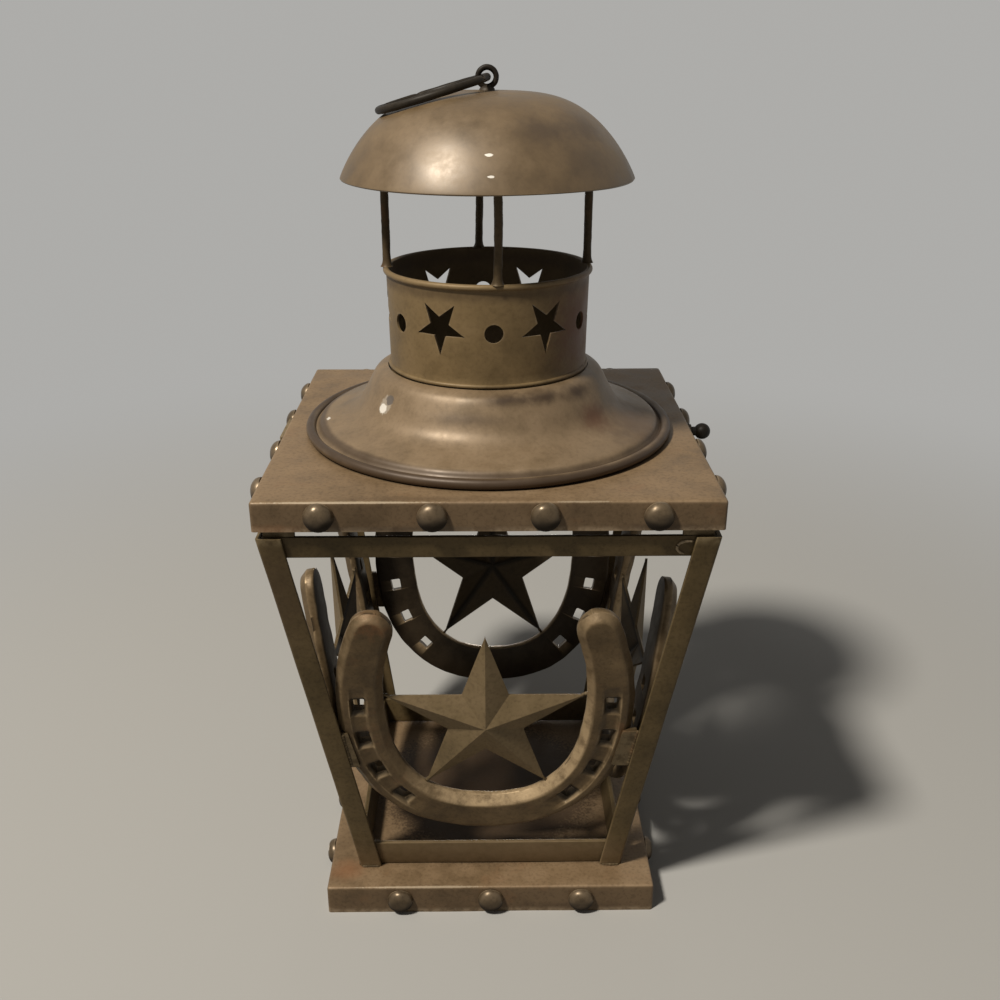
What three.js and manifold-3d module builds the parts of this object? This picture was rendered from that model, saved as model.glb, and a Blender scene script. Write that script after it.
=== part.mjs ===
// Candle lantern of patinated sheet steel: a square base tray, a frame that widens upwards with a
// horseshoe and a pressed star in each side, and a hinged roof with a pierced chimney and a hood.
// Millimetres, +Z up, front towards -Y, origin at the middle of the base's underside.

import * as THREE from 'three';
import { mergeVertices } from 'three/addons/utils/BufferGeometryUtils.js';
import Module from 'manifold-3d';

const wasm = await Module();
wasm.setup();

// Shared sizes
const clearance = 0.3;
const traySheet = 1.2;

// Base tray, with a ledge round the foot of the frame
const baseLedge = 13.9;
const baseHeight = 14;

// Frame: corner angles that lean outwards, with a hoop inside them at the foot and at the top
const footWidth = 120.2;
const topWidth = 176;
const frameHeight = 179.4;
const postLeg = 9.6;
const postThickness = 1.6;
const hoopThickness = 2;
const footHoopHeight = 13.4;
const topHoopHeight = 9.2;

// Upright corner tabs on the top hoop, which carry the roof
const tabLeg = 12;
const tabLap = 4;

// Roof tray, which reaches a little past the frame
const roofOverhang = 1;
const flangeHeight = 12;
const roofGap = 3.6;

// Rivets
const rivetHeadRadius = 5.8;
const baseRivetHeadRise = 3.5;
const roofRivetHeadRise = 4.2;
const rivetShankRadius = 1.8;
const rivetTail = 0.8;
const baseRivetMargin = 33;
const baseRivetsPerSide = 3;
const roofRivetMargin = 25.55;
const roofRivetsPerSide = 4;

// Horseshoe, in the plane of a side panel
const shoeShift = -1.9;
const shoeToeHeight = 21.3;
const shoeWidestHeight = 97;
const shoeHeelHeight = 142;
const shoeSideGap = 0.5;
const shoeWebAtToe = 18.8;
const shoeWebAtSide = 20.4;
const shoeWebAtHeel = 18;
const shoeSwellLength = 80;
const shoeHeelInset = 10;
const shoeToeShare = 0.62;
const shoeRoundness = 2.35;
const shoeThickness = 6.4;
const shoeBevelAtToe = 3.8;
const shoeBevelAtHeel = 3.1;
const shoeOuterBevel = 2.9;
const bevelLimit = 0.8;
const creaseDepth = 1.4;
const creaseWidth = 6.4;
const nailHoleLength = 6.4;
const nailHoleWidth = 5.2;
const nailHolesPerBranch = 4;
const firstNailHole = 39.6;
const nailHolePitch = 18.4;

// How much higher than in front the horseshoe and star are set, in the order of the sides' names
const panelRises = [0, 0, 4.8, 3];

// Lugs that weld the horseshoe to the posts
const lugLow = 62.5;
const lugHigh = 82;
const lugSetBack = 0.9;
const lugThickness = 2.6;
const lugBite = 4;

// Pressed star
const starHeight = 85;
const starRise = 6.7;
const starSheet = 1.2;
const starSetBack = 6;

// Collar between the roof and the chimney
const collarSheet = 1;
const collarHeight = 28.5;
const collarRadius = 79.8;
const collarSeat = 17.8;
const collarBead = 2.1;
const collarSweep = [
  [0, 0], [0.037, 0.049], [0.099, 0.133], [0.296, 0.208], [0.481, 0.292],
  [0.617, 0.428], [0.722, 0.663], [0.821, 0.883], [0.907, 0.966], [1, 1],
];

// Chimney
const chimneySheet = 1;
const chimneyHeight = 45.9;
const chimneyLap = 4;
const chimneyFootRadius = 41.9;
const chimneyFlare = 0.7;
const chimneyBead = 1.3;
const chimneyCutouts = 6;
const chimneyTurn = THREE.MathUtils.degToRad(3);
const cutStarRadius = 11.4;
const cutStarHeight = 28.2;
const cutHoleRadius = 3.8;
const cutHoleHeight = 26.4;

// Hood and the wires that hold it
const hoodRadius = 59.6;
const hoodRise = 32.7;
const hoodSheet = 1;
const hoodGap = 35.5;
const hoodFullness = 3.4;
const hoodSteepness = 0.92;
const hoodWireRadius = 1.7;
const hoodWireTurn = THREE.MathUtils.degToRad(5);

// Eye on the hood, and the carrying ring in it
const eyeMeanRadius = 3.6;
const eyeWireRadius = 1.1;
const eyeShankRadius = 1.5;
const eyeWasherRadius = 4.5;
const eyeWasherHeight = 1;
const ringMeanRadius = 22.4;
const ringWireRadius = 1.5;

// Hinge on the left side
const knuckleRadius = 2.7;
const pinRadius = 1.2;
const pinHeadRadius = 2;
const pinHeadHeight = 0.8;
const hingeLength = 26;
const middleKnuckle = 11;
const leafThickness = 1.2;
const roofLeafTop = 1.4;
const frameLeafDrop = 8;
const frameLeafBridge = 1.2;

// Lift knob on the right side
const knobRadius = 3.6;
const knobStemRadius = 2;
const knobReach = 10;
const knobDrop = 3.8;
const knobShoulderRadius = 3.2;
const knobShoulderHeight = 1;

// Fineness of the round shapes
const roundSteps = 36;
const beadSteps = 4;
const collarSteps = 9;
const hoodSteps = 9;
const ballSteps = 5;
const rivetSteps = 9;
const rivetHeadSteps = 3;
const holeSteps = 8;
const wireSteps = 8;
const eyeSteps = 20;
const smallRoundSteps = 12;
const shoeSteps = 13;

// Levels and slopes that follow from the sizes above
const footHalf = footWidth / 2;
const topHalf = topWidth / 2;
const baseWidth = footWidth + 2 * baseLedge;
const baseHalf = baseWidth / 2;
const roofWidth = topWidth + 2 * roofOverhang;
const roofHalf = roofWidth / 2;
const frameFoot = baseHeight + clearance;
const frameTop = frameFoot + frameHeight;
const flare = (topHalf - footHalf) / frameHeight;
const lean = Math.atan(flare);
const hoopInset = postThickness + clearance;
const flangeFoot = frameTop + roofGap;
const roofTop = flangeFoot + flangeHeight;
const roofUnderside = roofTop - traySheet;
const collarFoot = roofTop + clearance;
const collarTop = collarFoot + collarHeight;
const collarNeckRadius = chimneyFootRadius + clearance;
const ventRadius = collarRadius - collarSeat;
const chimneyFoot = collarTop - chimneyLap;
const chimneyTop = chimneyFoot + chimneyHeight;
const chimneyTopRadius = chimneyFootRadius + chimneyFlare;
const chimneyMeanRadius = chimneyTopRadius - chimneySheet / 2;
const hoodRim = chimneyTop + hoodGap;
const hoodTop = hoodRim + hoodRise;
const eyeCentre = hoodTop + clearance + eyeWireRadius + eyeMeanRadius;
const rivetLength = traySheet + rivetTail;
const baseRivetHeight = baseHeight / 2;
const roofRivetHeight = flangeFoot + flangeHeight / 2;
const knobHeight = roofTop - knobDrop;
const quarterTurn = Math.PI / 2;
const sideNames = ['front', 'right', 'back', 'left'];
const cornerNames = ['front_left', 'front_right', 'back_right', 'back_left'];

// Finishes
const finishes = {
  sheet: { color: 0x6b553d, roughness: 0.45, metalness: 0.6 },
  frame: { color: 0x54432f, roughness: 0.5, metalness: 0.6 },
  cast: { color: 0x6a4f33, roughness: 0.6, metalness: 0.5 },
  rivet: { color: 0x4d4034, roughness: 0.4, metalness: 0.7 },
  wire: { color: 0x3a342d, roughness: 0.4, metalness: 0.8 },
};

// Solids and meshes

function solidOf(geometry) {
  const bare = geometry.clone();
  bare.deleteAttribute('normal');
  bare.deleteAttribute('uv');
  const merged = mergeVertices(bare);
  const corners = Array.from(merged.index.array);
  const triangles = [];
  for (let i = 0; i < corners.length; i += 3) {
    const [a, b, c] = corners.slice(i, i + 3);
    if (a !== b && b !== c && c !== a) {
      triangles.push(a, b, c);
    }
  }
  return new wasm.Manifold(new wasm.Mesh({
    numProp: 3,
    vertProperties: new Float32Array(merged.attributes.position.array),
    triVerts: new Uint32Array(triangles),
  }));
}

function geometryOf(solid) {
  const mesh = solid.getMesh();
  const geometry = new THREE.BufferGeometry();
  geometry.setAttribute('position', new THREE.BufferAttribute(mesh.vertProperties, 3));
  geometry.setIndex(new THREE.BufferAttribute(mesh.triVerts, 1));
  geometry.computeVertexNormals();
  return geometry;
}

function meshOf(name, geometry, finish) {
  const mesh = new THREE.Mesh(geometry, new THREE.MeshStandardMaterial(finishes[finish]));
  mesh.name = name;
  return mesh;
}

// A box between two corners
function boxBetween(low, high) {
  const size = new THREE.Vector3().subVectors(high, low);
  const middle = new THREE.Vector3().addVectors(low, high).multiplyScalar(0.5);
  return new THREE.BoxGeometry(size.x, size.y, size.z).translate(middle.x, middle.y, middle.z);
}

// A cylinder along Y from one place to another on that axis
function rodAlongY(radius, from, to, steps) {
  return new THREE.CylinderGeometry(radius, radius, to - from, steps).translate(0, (from + to) / 2, 0);
}

// A cylinder along Z
function rodAlongZ(radius, from, to, steps) {
  return rodAlongY(radius, from, to, steps).rotateX(quarterTurn);
}

// Turns a profile of radius and height about Z, whichever way round the profile is listed
function turned(profile, steps) {
  const area = THREE.ShapeUtils.area(profile);
  const outward = area > 0 ? profile : [...profile].reverse();
  return new THREE.LatheGeometry(outward, steps).rotateX(quarterTurn);
}

// A closed band of even thickness under a profile that runs from its foot or rim inwards
function bandBelow(profile, thickness) {
  const under = profile.map((point, i) => {
    const before = profile[Math.max(i - 1, 0)];
    const after = profile[Math.min(i + 1, profile.length - 1)];
    const along = new THREE.Vector2().subVectors(after, before).normalize();
    return new THREE.Vector2(point.x - along.y * thickness, point.y + along.x * thickness);
  });
  return [...profile, ...under.reverse(), profile[0].clone()];
}

// A closed prism between a lower and an upper outline, both listed anticlockwise from above
function loft(lower, upper) {
  const count = lower.length;
  const positions = [...lower, ...upper].flatMap((point) => point.toArray());
  const flat = lower.map((point) => new THREE.Vector2(point.x, point.y));
  const triangles = [];
  for (const [a, b, c] of THREE.ShapeUtils.triangulateShape(flat, [])) {
    triangles.push(c, b, a);
    triangles.push(a + count, b + count, c + count);
  }
  for (let i = 0; i < count; i += 1) {
    const next = (i + 1) % count;
    triangles.push(i, next, next + count);
    triangles.push(i, next + count, i + count);
  }
  const geometry = new THREE.BufferGeometry();
  geometry.setAttribute('position', new THREE.Float32BufferAttribute(positions, 3));
  geometry.setIndex(triangles);
  geometry.computeVertexNormals();
  return geometry;
}

// Groups that carry the pieces of one side, upright or in the leaning plane of its panel

function sideGroup(side) {
  const group = new THREE.Group();
  group.rotation.z = side * quarterTurn;
  return group;
}

function panelGroup(side) {
  const panel = new THREE.Group();
  panel.position.set(0, -footHalf, frameFoot);
  panel.rotation.x = quarterTurn + lean;
  const group = sideGroup(side);
  group.add(panel);
  return { group, panel };
}

// Half of the frame's outer width at a height
function frameHalfAt(height) {
  return footHalf + (height - frameFoot) * flare;
}

// Trays and rivets

// Places along a side, evenly spread between a margin at each corner
function rivetPlaces(count, half, margin) {
  const pitch = (2 * (half - margin)) / (count - 1);
  return Array.from({ length: count }, (_, i) => (i - (count - 1) / 2) * pitch);
}

const baseRivetPlaces = rivetPlaces(baseRivetsPerSide, baseHalf, baseRivetMargin);
const roofRivetPlaces = rivetPlaces(roofRivetsPerSide, roofHalf, roofRivetMargin);

function trayWithRivetHoles(width, foot, height, places, rivetHeight) {
  const half = width / 2;
  const hollow = half - traySheet;
  const outer = boxBetween(
    new THREE.Vector3(-half, -half, foot),
    new THREE.Vector3(half, half, foot + height),
  );
  const inner = boxBetween(
    new THREE.Vector3(-hollow, -hollow, foot - traySheet),
    new THREE.Vector3(hollow, hollow, foot + height - traySheet),
  );
  let tray = solidOf(outer).subtract(solidOf(inner));
  const shank = rodAlongY(rivetShankRadius + clearance, -half - traySheet, -hollow + traySheet, holeSteps);
  for (let side = 0; side < sideNames.length; side += 1) {
    for (const place of places) {
      const hole = shank.clone().translate(place, 0, rivetHeight).rotateZ(side * quarterTurn);
      tray = tray.subtract(solidOf(hole));
    }
  }
  return tray;
}

function rivetGeometry(headRise) {
  const profile = [new THREE.Vector2(0, -rivetLength)];
  profile.push(new THREE.Vector2(rivetShankRadius, -rivetLength));
  profile.push(new THREE.Vector2(rivetShankRadius, clearance));
  for (let i = 0; i <= rivetHeadSteps; i += 1) {
    const angle = (i / rivetHeadSteps) * quarterTurn;
    const radius = i === rivetHeadSteps ? 0 : rivetHeadRadius * Math.cos(angle);
    profile.push(new THREE.Vector2(radius, clearance + headRise * Math.sin(angle)));
  }
  return turned(profile, rivetSteps).rotateX(quarterTurn);
}

function rivets(prefix, half, places, height, headRise) {
  const group = new THREE.Group();
  sideNames.forEach((sideName, side) => {
    const row = sideGroup(side);
    places.forEach((place, i) => {
      const name = `${prefix}_rivet_${sideName}_${i + 1}`;
      const rivet = meshOf(name, rivetGeometry(headRise), 'rivet');
      rivet.position.set(place, -half, height);
      row.add(rivet);
    });
    group.add(row);
  });
  return group;
}

function baseTray() {
  const tray = trayWithRivetHoles(baseWidth, 0, baseHeight, baseRivetPlaces, baseRivetHeight);
  return meshOf('base_tray', geometryOf(tray), 'sheet');
}

function roofTray() {
  const tray = trayWithRivetHoles(roofWidth, flangeFoot, flangeHeight, roofRivetPlaces, roofRivetHeight);
  const vent = rodAlongZ(ventRadius, roofUnderside - traySheet, roofTop + traySheet, roundSteps);
  const knobHoleRadius = knobStemRadius + clearance;
  const knobHole = rodAlongY(knobHoleRadius, -roofHalf - traySheet, -roofHalf + 2 * traySheet, holeSteps)
    .translate(0, 0, knobHeight)
    .rotateZ(quarterTurn);
  const open = tray.subtract(solidOf(vent)).subtract(solidOf(knobHole));
  return meshOf('roof_tray', geometryOf(open), 'sheet');
}

// Frame

function cornerPost(corner) {
  const angleOutline = (height) => {
    const edge = -frameHalfAt(height);
    const inside = edge + postThickness;
    const tip = edge + postLeg;
    return [[edge, edge], [tip, edge], [tip, inside], [inside, inside], [inside, tip], [edge, tip]]
      .map(([x, y]) => new THREE.Vector3(x, y, height));
  };
  const post = meshOf(
    `corner_post_${cornerNames[corner]}`,
    loft(angleOutline(frameFoot), angleOutline(frameTop)),
    'frame',
  );
  const group = sideGroup(corner);
  group.add(post);
  return group;
}

function squareAt(height, inset) {
  const half = frameHalfAt(height) - inset;
  return [[-half, -half], [half, -half], [half, half], [-half, half]]
    .map(([x, y]) => new THREE.Vector3(x, y, height));
}

function hoop(low, high) {
  const spare = hoopThickness;
  const outer = loft(squareAt(low, hoopInset), squareAt(high, hoopInset));
  const innerInset = hoopInset + hoopThickness;
  const inner = loft(squareAt(low - spare, innerInset), squareAt(high + spare, innerInset));
  return solidOf(outer).subtract(solidOf(inner));
}

function footHoop() {
  return meshOf('foot_hoop', geometryOf(hoop(frameFoot, frameFoot + footHoopHeight)), 'frame');
}

function topHoop() {
  let solid = hoop(frameTop - topHoopHeight, frameTop);
  const low = frameTop - tabLap;
  const high = roofUnderside - clearance;
  const outer = -(frameHalfAt(low) - hoopInset);
  const alongX = boxBetween(
    new THREE.Vector3(outer, outer, low),
    new THREE.Vector3(outer + tabLeg, outer + hoopThickness, high),
  );
  const alongY = boxBetween(
    new THREE.Vector3(outer, outer, low),
    new THREE.Vector3(outer + hoopThickness, outer + tabLeg, high),
  );
  const tab = solidOf(alongX).add(solidOf(alongY));
  for (let corner = 0; corner < cornerNames.length; corner += 1) {
    const turnedTab = geometryOf(tab).rotateZ(corner * quarterTurn);
    solid = solid.add(solidOf(turnedTab));
  }
  return meshOf('top_hoop', geometryOf(solid), 'frame');
}

// Horseshoe

const shoeOuterHalf = postEdgeAt(shoeWidestHeight) - Math.abs(shoeShift) - shoeSideGap;
const shoeCentreHalf = shoeOuterHalf - shoeWebAtSide / 2;
const shoeCentreToe = shoeToeHeight + shoeWebAtToe / 2;
const shoeHeelRadius = shoeWebAtHeel / 2;
const shoeFront = -hoopInset;
const shoeBack = shoeFront - shoeThickness;

// Middle of the web from the left heel to the right one: branches that close in towards the heels,
// and a rounded toe between the two widest places
class ShoeLine extends THREE.Curve {
  getPoint(t, target = new THREE.Vector3()) {
    const across = t < 0.5 ? -1 : 1;
    const share = Math.abs(2 * t - 1);
    if (share > shoeToeShare) {
      const climb = (share - shoeToeShare) / (1 - shoeToeShare);
      const x = shoeCentreHalf - shoeHeelInset * climb * climb;
      return target.set(across * x, THREE.MathUtils.lerp(shoeWidestHeight, shoeHeelHeight, climb), 0);
    }
    const angle = (share / shoeToeShare) * quarterTurn;
    const power = 2 / shoeRoundness;
    const x = shoeCentreHalf * Math.sin(angle) ** power;
    const drop = (shoeWidestHeight - shoeCentreToe) * Math.max(Math.cos(angle), 0) ** power;
    return target.set(across * x, shoeWidestHeight - drop, 0);
  }
}

const shoeLine = new ShoeLine();
const shoeBranch = shoeLine.getLength() / 2;

// Place on the middle line at a distance from the toe, negative on the left branch
function shoeStation(distance) {
  const share = THREE.MathUtils.clamp(0.5 + distance / (2 * shoeBranch), 0, 1);
  const along = shoeLine.getTangentAt(share);
  return {
    centre: shoeLine.getPointAt(share),
    along,
    across: new THREE.Vector3(along.y, -along.x, 0),
  };
}

// Half of the web's width: it swells from the toe to the sides and ends in a round heel
function shoeHalfWeb(distance) {
  const fromToe = Math.abs(distance);
  const fromHeel = Math.min((shoeBranch - fromToe) / shoeHeelRadius, 1);
  const swell = THREE.MathUtils.smoothstep(fromToe, 0, shoeSwellLength);
  const narrowing = THREE.MathUtils.smoothstep(fromToe, shoeSwellLength, shoeBranch);
  const side = THREE.MathUtils.lerp(shoeWebAtToe, shoeWebAtSide, swell);
  const web = THREE.MathUtils.lerp(side, shoeWebAtHeel, narrowing);
  return (web / 2) * Math.sqrt(1 - (1 - fromHeel) ** 2);
}

function shoeEdge(distance, outward) {
  const { centre, across } = shoeStation(distance);
  return centre.addScaledVector(across, outward * shoeHalfWeb(distance));
}

// The crease reaches past the first and the last nail hole
function creaseDepthAt(distance) {
  const fromToe = Math.abs(distance);
  const start = firstNailHole - nailHolePitch / 2;
  const end = firstNailHole + nailHolePitch * (nailHolesPerBranch - 0.5);
  return fromToe > start && fromToe < end ? creaseDepth : 0;
}

// Outline of the web from the inner edge at the back, round the front, to the outer edge at the back
function shoeSection(distance) {
  const half = shoeHalfWeb(distance);
  const narrowing = THREE.MathUtils.smoothstep(Math.abs(distance), 0, shoeSwellLength);
  const bevel = THREE.MathUtils.lerp(shoeBevelAtToe, shoeBevelAtHeel, narrowing);
  const inner = Math.min(bevel, half * bevelLimit);
  const outer = Math.min(shoeOuterBevel, half * bevelLimit);
  const groove = Math.min(creaseWidth / 2, (half - inner) * bevelLimit);
  const grooveFloor = shoeFront - creaseDepthAt(distance);
  return [
    [-half, shoeBack],
    [-half, shoeFront - inner],
    [inner - half, shoeFront],
    [-groove, shoeFront],
    [-groove / 2, grooveFloor],
    [groove / 2, grooveFloor],
    [groove, shoeFront],
    [half - outer, shoeFront],
    [half, shoeFront - outer],
    [half, shoeBack],
  ];
}

// Distances from the toe at which the web is drawn, closer together round the heel
function shoeDistances() {
  const heelShares = [0, 0.35, 0.7, 0.97];
  const heelStart = shoeBranch - shoeHeelRadius;
  const branch = [];
  for (let i = 1; i < shoeSteps; i += 1) {
    branch.push((i / shoeSteps) * heelStart);
  }
  for (const share of heelShares) {
    branch.push(heelStart + share * shoeHeelRadius);
  }
  return [...branch.map((distance) => -distance).reverse(), 0, ...branch];
}

function shoeBar() {
  const positions = [];
  const triangles = [];
  const distances = shoeDistances();
  const count = shoeSection(0).length;
  for (const distance of distances) {
    const { centre, across } = shoeStation(distance);
    for (const [offset, depth] of shoeSection(distance)) {
      positions.push(centre.x + across.x * offset, centre.y + across.y * offset, depth);
    }
  }
  for (let ring = 0; ring < distances.length - 1; ring += 1) {
    for (let i = 0; i < count; i += 1) {
      const here = ring * count + i;
      const next = ring * count + ((i + 1) % count);
      triangles.push(here, next, next + count);
      triangles.push(here, next + count, here + count);
    }
  }
  const lastRing = (distances.length - 1) * count;
  const heelMiddles = [distances[0], distances.at(-1)].map((distance) => shoeStation(distance).centre);
  heelMiddles.forEach((middle, end) => {
    const tip = positions.length / 3;
    positions.push(middle.x, middle.y, (shoeFront + shoeBack) / 2);
    const ring = end * lastRing;
    for (let i = 0; i < count; i += 1) {
      const next = (i + 1) % count;
      const edge = end === 0 ? [ring + next, ring + i] : [ring + i, ring + next];
      triangles.push(tip, ...edge);
    }
  });
  const geometry = new THREE.BufferGeometry();
  geometry.setAttribute('position', new THREE.Float32BufferAttribute(positions, 3));
  geometry.setIndex(triangles);
  return geometry;
}

function nailHoles() {
  const holes = [];
  for (let i = 0; i < nailHolesPerBranch; i += 1) {
    for (const branch of [-1, 1]) {
      const { centre, along } = shoeStation(branch * (firstNailHole + i * nailHolePitch));
      const hole = new THREE.BoxGeometry(nailHoleLength, nailHoleWidth, 2 * shoeThickness);
      hole.rotateZ(Math.atan2(along.y, along.x));
      holes.push(hole.translate(centre.x, centre.y, (shoeFront + shoeBack) / 2));
    }
  }
  return holes;
}

// Outer edge of the right branch at a height in the panel
function shoeReachAt(height) {
  const samples = 400;
  for (let i = 0; i < samples; i += 1) {
    const edge = shoeEdge((i / samples) * shoeBranch, 1);
    if (edge.y >= height) {
      return edge.x;
    }
  }
  return shoeCentreHalf;
}

// Inner edge of the nearer post at a height in the panel, measured from the panel's middle
function postEdgeAt(height) {
  return frameHalfAt(frameFoot + height * Math.cos(lean)) - postLeg;
}

function lug(branch, rise) {
  const reach = (height) => postEdgeAt(height + rise) - clearance - branch * shoeShift;
  const outline = [
    [shoeReachAt(lugLow) - lugBite, lugLow],
    [reach(lugLow), lugLow],
    [reach(lugHigh), lugHigh],
    [shoeReachAt(lugHigh) - lugBite, lugHigh],
  ].map(([x, y]) => [branch * x, y]);
  const ordered = branch > 0 ? outline : outline.reverse();
  const at = (depth) => ordered.map(([x, y]) => new THREE.Vector3(x, y, depth));
  return loft(at(-lugSetBack - lugThickness), at(-lugSetBack));
}

function horseshoe(side) {
  let solid = solidOf(shoeBar());
  for (const branch of [-1, 1]) {
    solid = solid.add(solidOf(lug(branch, panelRises[side])));
  }
  for (const hole of nailHoles()) {
    solid = solid.subtract(solidOf(hole));
  }
  const shoe = meshOf(`horseshoe_${sideNames[side]}`, geometryOf(solid), 'cast');
  shoe.position.set(shoeShift, panelRises[side], 0);
  const { group, panel } = panelGroup(side);
  panel.add(shoe);
  return group;
}

// Pressed star: sharp ridges to five points, hollow behind, its points against the horseshoe's inside

const starPoints = 5;
const starWaist = Math.sin(Math.PI / 10) / Math.sin((3 * Math.PI) / 10);
const fullTurn = 2 * Math.PI;

function starAngle(point) {
  return quarterTurn + (point * fullTurn) / starPoints;
}

// How far the space inside the horseshoe reaches from the star's middle in a direction
function reachInsideShoe(angle) {
  const samples = 800;
  let nearest = Infinity;
  let reach = Infinity;
  for (let i = 0; i <= samples; i += 1) {
    const edge = shoeEdge((2 * (i / samples) - 1) * shoeBranch, -1);
    const offset = edge.sub(new THREE.Vector3(0, starHeight, 0));
    const turn = Math.atan2(offset.y, offset.x) - angle;
    const apart = Math.abs(Math.atan2(Math.sin(turn), Math.cos(turn)));
    if (apart < nearest) {
      nearest = apart;
      reach = offset.length();
    }
  }
  return reach;
}

const starRadius = Math.min(...[1, 2, 3, 4].map((point) => reachInsideShoe(starAngle(point)))) - clearance;

function star(side) {
  const outline = [];
  for (let i = 0; i < 2 * starPoints; i += 1) {
    const radius = i % 2 === 0 ? starRadius : starRadius * starWaist;
    const angle = starAngle(i / 2);
    outline.push([radius * Math.cos(angle), radius * Math.sin(angle)]);
  }
  const count = outline.length;
  const front = [...outline.map(([x, y]) => [x, y, 0]), [0, 0, starRise]];
  const back = front.map(([x, y, z]) => [x, y, z - starSheet]);
  const triangles = [];
  for (let i = 0; i < count; i += 1) {
    const next = (i + 1) % count;
    const under = count + 1;
    triangles.push(i, next, count);
    triangles.push(under + next, under + i, under + count);
    triangles.push(i, under + i, under + next);
    triangles.push(i, under + next, next);
  }
  const geometry = new THREE.BufferGeometry();
  geometry.setAttribute('position', new THREE.Float32BufferAttribute([...front, ...back].flat(), 3));
  geometry.setIndex(triangles);
  geometry.computeVertexNormals();
  const mesh = meshOf(`star_${sideNames[side]}`, geometry, 'sheet');
  mesh.position.set(shoeShift, starHeight + panelRises[side], -starSetBack);
  const { group, panel } = panelGroup(side);
  panel.add(mesh);
  return group;
}

// Collar, chimney and hood

function collar() {
  const beadMiddle = collarFoot + collarBead;
  const sweepFoot = new THREE.Vector2(collarRadius - 2 * collarBead, beadMiddle);
  const sweepTop = new THREE.Vector2(collarNeckRadius + collarSheet, collarTop);
  const sweep = new THREE.SplineCurve(collarSweep.map(([inwards, upwards]) => new THREE.Vector2(
    THREE.MathUtils.lerp(sweepFoot.x, sweepTop.x, inwards),
    THREE.MathUtils.lerp(sweepFoot.y, sweepTop.y, upwards),
  ))).getPoints(collarSteps);
  const bead = [];
  for (let i = 0; i <= beadSteps; i += 1) {
    const angle = (i / beadSteps) * Math.PI - quarterTurn;
    const r = collarRadius - collarBead + collarBead * Math.cos(angle);
    bead.push(new THREE.Vector2(r, beadMiddle + collarBead * Math.sin(angle)));
  }
  const under = sweep.slice(1, -1).map((point) => new THREE.Vector2(
    point.x - collarSheet,
    point.y - collarSheet,
  ));
  const neck = new THREE.Vector2(collarNeckRadius, collarTop);
  const profile = [...bead, ...sweep, neck, ...under.reverse(), bead[0].clone()];
  return meshOf('collar', turned(profile, roundSteps), 'sheet');
}

function chimneyCutters() {
  const depth = 4 * chimneyBead + 4 * chimneySheet;
  const outline = new THREE.Shape();
  for (let i = 0; i < 2 * starPoints; i += 1) {
    const radius = i % 2 === 0 ? cutStarRadius : cutStarRadius * starWaist;
    const angle = starAngle(i / 2) + Math.PI;
    const corner = [radius * Math.cos(angle), radius * Math.sin(angle)];
    if (i === 0) {
      outline.moveTo(...corner);
    } else {
      outline.lineTo(...corner);
    }
  }
  const starCutter = new THREE.ExtrudeGeometry(outline, { depth, bevelEnabled: false })
    .translate(0, 0, -depth / 2)
    .rotateX(quarterTurn)
    .translate(0, -chimneyFootRadius, chimneyFoot + cutStarHeight);
  const holeCutter = rodAlongY(cutHoleRadius, -depth / 2, depth / 2, smallRoundSteps)
    .translate(0, -chimneyFootRadius, chimneyFoot + cutHoleHeight);
  const step = fullTurn / chimneyCutouts;
  const cutters = [];
  for (let i = 0; i < chimneyCutouts; i += 1) {
    cutters.push(holeCutter.clone().rotateZ(chimneyTurn + i * step));
    cutters.push(starCutter.clone().rotateZ(chimneyTurn + (i + 0.5) * step));
  }
  return cutters;
}

function chimney() {
  const rimMiddle = chimneyTop - chimneyBead;
  const rim = [];
  for (let i = 0; i <= beadSteps; i += 1) {
    const angle = (i / beadSteps) * Math.PI - quarterTurn;
    const r = chimneyTopRadius + chimneyBead * Math.cos(angle);
    rim.push(new THREE.Vector2(r, rimMiddle + chimneyBead * Math.sin(angle)));
  }
  const foot = new THREE.Vector2(chimneyFootRadius, chimneyFoot);
  const profile = [
    foot,
    ...rim,
    new THREE.Vector2(chimneyTopRadius - chimneySheet, chimneyTop),
    new THREE.Vector2(chimneyFootRadius - chimneySheet, chimneyFoot),
    foot.clone(),
  ];
  let solid = solidOf(turned(profile, roundSteps));
  for (const cutter of chimneyCutters()) {
    solid = solid.subtract(solidOf(cutter));
  }
  return meshOf('chimney', geometryOf(solid), 'sheet');
}

// Height of the hood's outside above its rim
function hoodHeightAt(radius) {
  const share = Math.min(Math.abs(radius) / hoodRadius, 1);
  return hoodRise * (1 - share ** hoodFullness) ** hoodSteepness;
}

function hoodSlopeAt(radius) {
  const step = 0.05;
  return (hoodHeightAt(radius - step) - hoodHeightAt(radius)) / step;
}

function hood() {
  const hole = eyeShankRadius + clearance;
  const profile = [];
  for (let i = 0; i <= hoodSteps; i += 1) {
    const angle = (i / hoodSteps) * quarterTurn;
    const radius = hole + (hoodRadius - hole) * Math.cos(angle);
    profile.push(new THREE.Vector2(radius, hoodRim + hoodHeightAt(radius)));
  }
  return meshOf('hood', turned(bandBelow(profile, hoodSheet), roundSteps), 'sheet');
}

// The wires stand on the chimney's rim and end under the hood where their outer side meets it
function hoodWire(index) {
  const outerSide = chimneyMeanRadius + hoodWireRadius;
  const slant = Math.hypot(1, hoodSlopeAt(outerSide));
  const top = hoodRim + hoodHeightAt(outerSide) - hoodSheet * slant - clearance;
  const wire = meshOf(
    `hood_wire_${sideNames[index]}`,
    rodAlongZ(hoodWireRadius, chimneyTop + clearance, top, wireSteps),
    'frame',
  );
  wire.position.set(0, -chimneyMeanRadius, 0);
  const group = sideGroup(index);
  group.rotation.z += hoodWireTurn;
  group.add(wire);
  return group;
}

// Eye and carrying ring

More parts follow.
